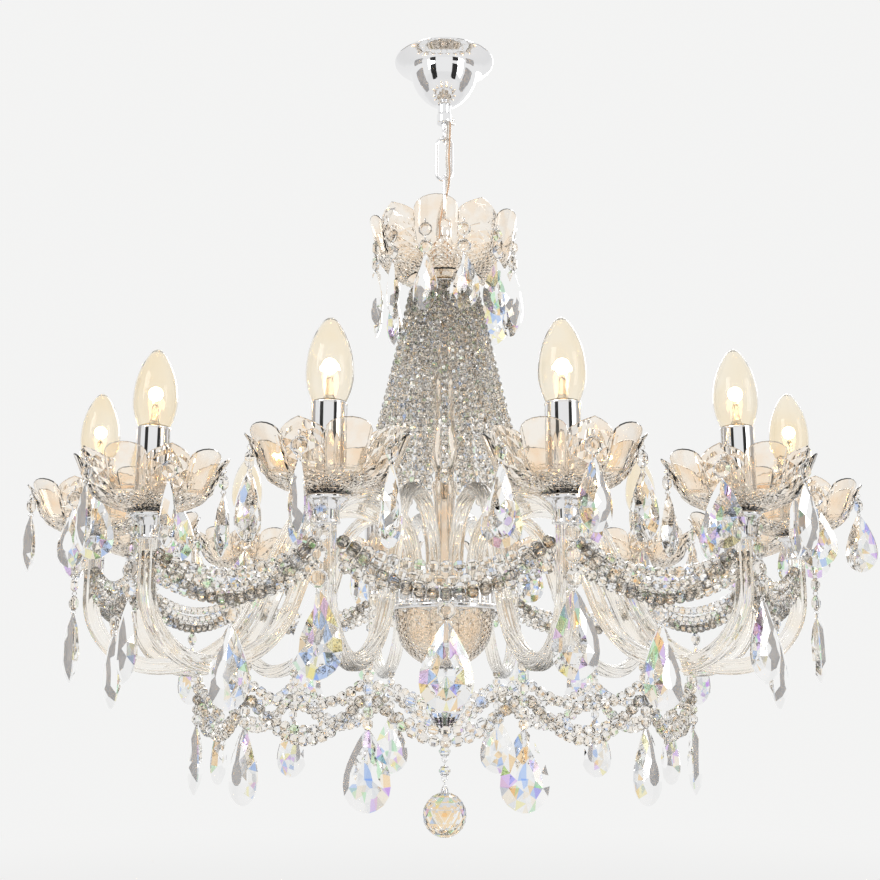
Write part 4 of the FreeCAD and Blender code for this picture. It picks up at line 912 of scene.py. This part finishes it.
def pear(height, width, depth):
    """A pear pendant cut in kites and triangles, facing the front, its top at the origin."""
    outline = [(0.0, 0.08), (0.06, 0.24), (0.15, 0.42), (0.28, 0.64), (0.42, 0.84), (0.55, 0.96),
               (0.68, 1.0),
               (0.80, 0.93), (0.90, 0.72), (0.97, 0.40), (1.0, 0.12)]
    right = [np.array([w * width / 2, -t * height]) for t, w in outline]
    left = [np.array([-p[0], p[1]]) for p in reversed(right)]
    edge = right + left
    n = len(edge)
    centre = np.array([0, -height * 0.60])
    girdle = 0.55
    verts, faces = [], []

    def level(points, y):
        ids = []
        for p in points:
            ids.append(len(verts))
            verts.append((p[0], y, p[1]))
        return ids

    front_edge = level(edge, -girdle)
    back_edge = level(edge, girdle)
    for k in range(n):
        m = (k + 1) % n
        faces.append((front_edge[k], back_edge[k], back_edge[m], front_edge[m]))
    for sign, rim in ((-1, front_edge), (1, back_edge)):
        middles = [(edge[k] + edge[(k + 1) % n]) / 2 for k in range(0, n, 2)]
        ring1 = [centre + (p - centre) * 0.70 for p in middles]
        ring2 = [centre + ((a + b) / 2 - centre) * 0.38 for a,
                 b in zip(middles, middles[1:] + middles[:1])]
        one = level(ring1, sign * (girdle + (depth / 2 - girdle) * 0.62))
        two = level(ring2, sign * (girdle + (depth / 2 - girdle) * 0.95))
        tip = level([centre], sign * depth / 2)[0]
        new = []
        for k in range(len(one)):
            m = (k + 1) % len(one)
            a, b, c = rim[2 * k], rim[2 * k + 1], rim[(2 * k + 2) % n]
            new += [(a, b, one[k]), (b, c, one[k]), (c, one[m], one[k]), (one[k], one[m], two[k]),
                    (two[k], one[m], two[m]), (two[k], two[m], tip)]
        faces += [f if sign < 0 else tuple(reversed(f)) for f in new]
    return Shape(verts, faces)


def octagon(radius, depth):
    """A flat octagonal bead facing the front, its middle at the origin."""
    girdle = 0.45
    verts, faces = [], []
    turns = [math.radians(22.5 + 45 * k) for k in range(8)]
    outer = [(radius * math.cos(t), radius * math.sin(t)) for t in turns]
    rings = []
    for scale, y in ((1.0, -girdle), (0.56, -depth / 2), (1.0, girdle), (0.56, depth / 2)):
        rings.append([len(verts) + k for k in range(8)])
        verts += [(x * scale, y, z * scale) for x, z in outer]
    fo, ft, bo, bt = rings
    for k in range(8):
        m = (k + 1) % 8
        faces.append((fo[k], fo[m], ft[m], ft[k]))
        faces.append((bo[m], bo[k], bt[k], bt[m]))
        faces.append((fo[m], fo[k], bo[k], bo[m]))
    faces.append(tuple(ft))
    faces.append(tuple(reversed(bt)))
    return Shape(verts, faces)


def bead(radius, length, sides=7):
    """A small cut bead, its hole along Z."""
    half = [(radius * 0.42, length / 2), (radius * 0.92, length * 0.2)]
    return lathe([(r, -z) for r, z in half] + half[::-1], sides)


def strung(points, pitch, shape):
    """Copies of a bead, hole along Z, at even steps along a line of points."""
    pts = np.array(points, float)
    run = lengths(pts)
    count = max(1, int(round(run[-1] / pitch)))
    out = []
    for k in range(count):
        spot = (k + 0.5) * run[-1] / count
        here, ahead = along(spot, run, pts), along(min(run[-1], spot + 0.5), run, pts)
        turn = Vector(ahead - here).to_track_quat("Z", "Y").to_matrix().to_4x4()
        spin = Matrix.Rotation(RNG.uniform(0, 6.28), 4, "Z")
        out.append(shape.copy(Matrix.Translation(here) @ turn @ spin))
    return out


def sag_line(a, b, sag, steps=24):
    """Points of a hanging curve between two points."""
    t = np.linspace(0, 1, steps)[:, None]
    line = np.array(a) + (np.array(b) - np.array(a)) * t
    line[:, 2] -= 4 * sag * (t * (1 - t))[:, 0]
    return line


def hooks(height):
    """A small wire ring at a height above a pendant's top."""
    return ring_wire(1.9, 0.4, 14, 6).at(0, 0, height)


def pendants():
    """Octagons and pears on the bowls, the top dish, the arms and between them."""
    rings = []
    lamps_xy = [polar(LAMP_RADIUS, a) for a in LAMP_ANGLES]

    def nearest_lamp(part):
        c = part.mean(0)
        return min(lamps_xy, key=lambda p: np.hypot(c[0] - p[0], c[1] - p[1]))

    def middle(part):
        low, high = part.min(0), part.max(0)
        return (low[0] + high[0]) / 2, (low[1] + high[1]) / 2, low[2], high[2]

    def place(node, shape, centre_of, swing=7, sink=0.0):
        """A shape at each loose part of a node, lowered by a share of its height, and its ring."""
        out = []
        for part in islands(node):
            turn = facing(part, centre_of(part)) + RNG.uniform(-swing, swing)
            x, y, low, top = middle(part)
            out.append(shape.at(x, y, top - sink * (top - low), turn))
            rings.append(hooks(0.6).at(x, y, top, turn + 90))
        return join(out)

    def axis(part):
        return (0.0, 0.0)

    big = pear(60, 38, 13)
    for node, shape, centre_of, swing in (
            ("bowl_pears", pear(50, 31, 11), nearest_lamp, 55),
                                          ("dish_pears", pear(55, 31, 11), axis, 50),
            ("arm_pears", pear(60, 35, 13), axis, 12), ("low_pears", big, axis, 7)):
        crystals(node, place(node, shape, centre_of, swing), PEAR_CRYSTAL)
    eight = octagon(6.9, 6.6)
    for node, centre_of in (("bowl_octagons", nearest_lamp), ("dish_octagons", axis),
                            ("gap_octagons", axis)):
        crystals(node, place(node, eight, centre_of, sink=0.5))
    drops = []
    for part in islands("arm_drop_beads"):
        x, y, low, top = middle(part)
        turn = facing(part, (0, 0)) + RNG.uniform(-20, 20)
        drops.append(octagon(min(7.0, (top - low) * 0.46), 6.2).at(x, y, (low + top) / 2, turn))
        rings.append(hooks(0.0).at(x, y, top, turn + 90))
    make("arm_drops_cut", join(drops), BEAD_CRYSTAL, "chandelier", None, ["arm_drop_beads"])

    make("pendant_rings", join(rings), CHROME, "chandelier", 60)
    for k, a in enumerate(GAP_ANGLES):
        node = "gap_pear_%02d" % (k + 1)
        x, y, top = polar(LAMP_RADIUS * math.cos(HALF_PITCH), a, box_mm(node)[1][2])
        crystals(node, big.at(x, y, top, a), PEAR_CRYSTAL, node)
        make(node + "_ring", hooks(0.6).at(x, y, top, a + 90), CHROME, node, 60)


def strands():
    """The tent: strands of small beads outside, strands of larger cut beads inside."""
    low, high = box_mm("outer_strands")
    small = bead(3.9, 7.4)
    outer = []
    spread = [(32, 82, 3.0, a, way) for a in LAMP_ANGLES for way in (-1, 1)]
    spread += [(30, 72, 6.0, a, 0) for a in GAP_ANGLES]
    for head_radius, foot_radius, lift, a, way in spread:
        head = polar(head_radius, a + way * 7.0, high[2])
        foot = polar(foot_radius, a + way * 3.0, low[2] + lift)
        outer += strung(sag_line(head, foot, 7.0), 7.5, small)
    crystals("outer_strands", join(outer))
    low, high = box_mm("inner_strands")
    inner = []
    flat = octagon(6.8, 7.0)
    for a in GAP_ANGLES:
        line = sag_line(polar(21, a, high[2]), polar(50, a, low[2] - 6), 4.0)
        inner += strung(line, 13.6, flat)
    crystals("inner_strands", join(inner))


def swag(radius, angle, drop, sag, inset):
    """A hanging line between two neighbouring lamps' angles, at a radius and a depth."""
    half, depth = radius * math.sin(HALF_PITCH) - inset, radius * math.cos(HALF_PITCH)
    line = sag_line(np.array([-half, -depth, -drop]), np.array([half, -depth, -drop]), sag)
    return Shape(line).at(turn=angle).verts


def garlands():
    """Nets of beads between the arms and swags below them."""
    ten = bead(4.6, 8.4, 8)
    upper = []
    for a in GAP_ANGLES:
        for drop, sag, inset in ((541, 40, 8), (541, 30, 8), (541, 20, 8), (552, 24, 8.5),
                                 (560, 20, 9)):
            upper += strung(swag(LAMP_RADIUS, a, drop, sag, inset), 9.4, ten)
    crystals("upper_garlands", join(upper))

    lower = []
    for a in GAP_ANGLES:
        for drop, sag in ((650, 34), (652, 24), (640, 18)):
            lower += strung(swag(LOW_RADIUS, a, drop, sag, 4), 9.2, ten)
    top = box_mm("lower_garlands")[1][2] - 1
    for a in LAMP_ANGLES:
        lower += strung([polar(LOW_RADIUS, a, top), polar(LOW_RADIUS, a, -675.0)], 9.4, ten)
    crystals("lower_garlands", join(lower))


def drop_pieces():
    """The two drop beads and the ball, each hooked to the one above."""
    for node in ("drop_bead_upper", "drop_bead_lower"):
        low, high = box_mm(node)
        shape = lathe([(0, -5), (3.2, -4.2), (5.4, -0.8), (5.4, 0.8), (3.2, 4.2), (0, 5)], 9)
        shape = shape.at(0, 0, (low[2] + high[2]) / 2)
        crystals(node, shape, PEAR_CRYSTAL, node)
        loops = [ring_wire(*LOOP).at(0, 0, high[2] - LOOP_DROP, 90),
                 ring_wire(*LOOP).at(0, 0, low[2] + LOOP_DROP)]
        make(node + "_loops", join(loops), CHROME, node, 60)
    low, high = box_mm("crystal_ball")
    radius = 20.3
    rows = [(0, -radius)]
    for lat in range(-72, 73, 18):
        t = math.radians(lat)
        rows.append((radius * math.cos(t), radius * math.sin(t)))
    rows.append((0, radius))
    ball = twisted_ball(rows, 16).at(0, 0, low[2] + radius)
    make("ball_cut", ball, PEAR_CRYSTAL, "crystal_ball", None, ["crystal_ball"])
    top = low[2] + 2 * radius
    cap = lathe(soften([(0, top - 0.8), (4.0, top - 0.7), (3.6, top + 2.0), (2.2, top + 5.0),
                        (1.0, top + 6.3), (0, top + 6.3)],
                       0.6, 2), 32)
    loop = ring_wire(*LOOP).at(0, 0, high[2] - LOOP_DROP, 90)
    make("ball_cap", join([cap, loop]), CHROME, "crystal_ball", 50)


def twisted_ball(rows, sides):
    """A ball of triangles: each ring of corners is turned half a step from the last."""
    verts, rings = [], []
    for i, (r, z) in enumerate(rows):
        if r < 1e-6:
            rings.append([len(verts)])
            verts.append((0, 0, z))
            continue
        ring = []
        for k in range(sides):
            a = 2 * math.pi * (k + 0.5 * (i % 2)) / sides
            ring.append(len(verts))
            verts.append((r * math.sin(a), -r * math.cos(a), z))
        rings.append(ring)
    faces = []
    for i, (low, high) in enumerate(zip(rings, rings[1:])):
        for k in range(sides):
            n = (k + 1) % sides
            if len(low) == 1:
                faces.append((low[0], high[n], high[k]))
            elif len(high) == 1:
                faces.append((low[k], low[n], high[0]))
            elif i % 2:
                faces.append((low[k], low[n], high[n]))
                faces.append((low[k], high[n], high[k]))
            else:
                faces.append((low[k], low[n], high[k]))
                faces.append((low[n], high[n], high[k]))
    return Shape(verts, faces)


# ---------------------------------------------------------------- stage, light and camera

def seen_rays(tree):
    """One for rays of the camera, mirrored rays and rays through glass, and zero for light."""
    rays = add(tree, "LightPath").outputs
    first = add(tree, "Math", {0: rays["Is Camera Ray"], 1: rays["Is Glossy Ray"]},
                {"operation": "MAXIMUM"})
    both = add(tree, "Math", {0: first.outputs[0], 1: rays["Is Transmission Ray"]},
               {"operation": "MAXIMUM"})
    return both.outputs[0]


def stage():
    """Pale floor, pale world, soft lamps and warm light inside the bulbs."""
    pale = (0.90, 0.90, 0.895)
    bpy.ops.mesh.primitive_grid_add(x_subdivisions=2, y_subdivisions=2, size=14,
                                    location=(0, 0, -1.35))
    floor = bpy.context.object
    floor.name = "studio_floor"
    mat, tree, shader = new_material("studio_floor", Roughness=0.9)
    coord = add(tree, "TexCoord").outputs["Object"]
    noise = add(tree, "TexNoise", {"Vector": coord}, Scale=3.0)
    tones = [(0.3, (0.84, 0.84, 0.835)), (0.7, (0.87, 0.87, 0.865))]
    ramp = ramp_of(tree, noise.outputs["Fac"], tones)
    link(tree, ramp.outputs["Color"], shader.inputs["Base Color"])
    glow = add(tree, "Emission", Color=(*pale, 1))
    reach = add(tree, "VectorMath", {0: coord}, {"operation": "LENGTH"})
    fade = add(tree, "MapRange", {"Value": reach.outputs["Value"]},
               {"interpolation_type": "SMOOTHSTEP"}, From_Min=0.8, From_Max=5.5, To_Min=0.72,
               To_Max=1.0)
    share = add(tree, "Math", {0: fade.outputs["Result"], 1: seen_rays(tree)},
                {"operation": "MULTIPLY"})
    blend = add(tree, "MixShader", {0: share.outputs[0], 1: shader.outputs[0], 2: glow.outputs[0]})
    link(tree, blend.outputs[0], tree.nodes["Material Output"].inputs["Surface"])
    floor.data.materials.append(mat)

    world = bpy.data.worlds.new("studio")
    bpy.context.scene.world = world
    world.use_nodes = True
    tree = world.node_tree
    background = tree.nodes["Background"]
    mix = add(tree, "Mix", mode={"data_type": "RGBA"})
    mix.inputs["A"].default_value = (0.42, 0.42, 0.43, 1)
    mix.inputs["B"].default_value = (*pale, 1)
    link(tree, seen_rays(tree), mix.inputs["Factor"])
    link(tree, mix.outputs["Result"], background.inputs["Color"])
    background.inputs["Strength"].default_value = 1.0

    def area(name, place, size, energy):
        lamp = bpy.data.lights.new(name, "AREA")
        lamp.shape = "RECTANGLE"
        lamp.size, lamp.size_y = size
        lamp.energy = energy
        obj = bpy.data.objects.new(name, lamp)
        bpy.context.scene.collection.objects.link(obj)
        obj.location = place
        obj.rotation_mode = "QUATERNION"
        obj.visible_camera = False
        obj.visible_transmission = False
        obj.rotation_quaternion = (Vector(place) - Vector((0, 0, -0.45))).to_track_quat("Z", "Y")

    area("key_lamp", (-1.5, -1.6, 0.5), (0.9, 1.4), 26)
    area("fill_lamp", (1.8, -1.2, -0.1), (0.8, 1.6), 14)
    area("back_lamp", (0.6, 2.0, 0.7), (1.2, 1.2), 20)

    for k, a in enumerate(LAMP_ANGLES):
        lamp = bpy.data.lights.new("bulb_light_%02d" % (k + 1), "POINT")
        lamp.energy = 1.2
        lamp.color = (1.0, 0.62, 0.28)
        lamp.shadow_soft_size = 0.006
        obj = bpy.data.objects.new(lamp.name, lamp)
        bpy.context.scene.collection.objects.link(obj)
        obj.location = polar(LAMP_RADIUS, a, FILAMENT) * MM


def flags():
    """Cards, unseen by cameras, that give glass and chrome their darker edges."""
    for label, grey, glossy_only, places in (
        ("grey_card", 0.55, False, (("left", -1.45, 0.1, 0), ("right", 1.45, 0.1, 0))),
        ("dark_card", 0.03, True, (("left", -1.15, -1.5, 50), ("right", 1.15, -1.5, -50))),
    ):
        mat, tree, shader = new_material(label, Roughness=1.0)
        noise = add(tree, "TexNoise", {"Vector": add(tree, "TexCoord").outputs["Object"]},
                    Scale=4.0)
        ramp = ramp_of(tree, noise.outputs["Fac"], [(0.3, (grey * 0.8,) * 3), (0.7, (grey,) * 3)])
        link(tree, ramp.outputs["Color"], shader.inputs["Base Color"])
        wide = 330 if glossy_only else 450
        for side, x, y, turn in places:
            shape = Shape([(0, -wide, -600), (0, wide, -600), (0, wide, 700), (0, -wide, 700)],
                          [(0, 1, 2, 3)])
            card = make("%s_%s" % (label, side), shape.at(x * 1000, y * 1000, -450, turn), mat,
                        None, None)
            card.visible_camera = False
            card.visible_shadow = False
            card.visible_diffuse = False
            card.visible_transmission = not glossy_only


def camera():
    data = bpy.data.cameras.new("view")
    data.lens = 48.98
    data.sensor_width = 36
    data.clip_start = 0.01
    obj = bpy.data.objects.new("view", data)
    bpy.context.scene.collection.objects.link(obj)
    obj.location = (-0.0043, -1.1489, -0.6463)
    obj.rotation_euler = (math.radians(90 + 11.86), 0, 0)
    bpy.context.scene.camera = obj


camera()
ceiling_parts()
supply_flex()
stem_parts()
glass_arms()
lamps()
pendants()
strands()
garlands()
drop_pieces()
stage()
flags()
bpy.context.scene.view_settings.view_transform = "Standard"
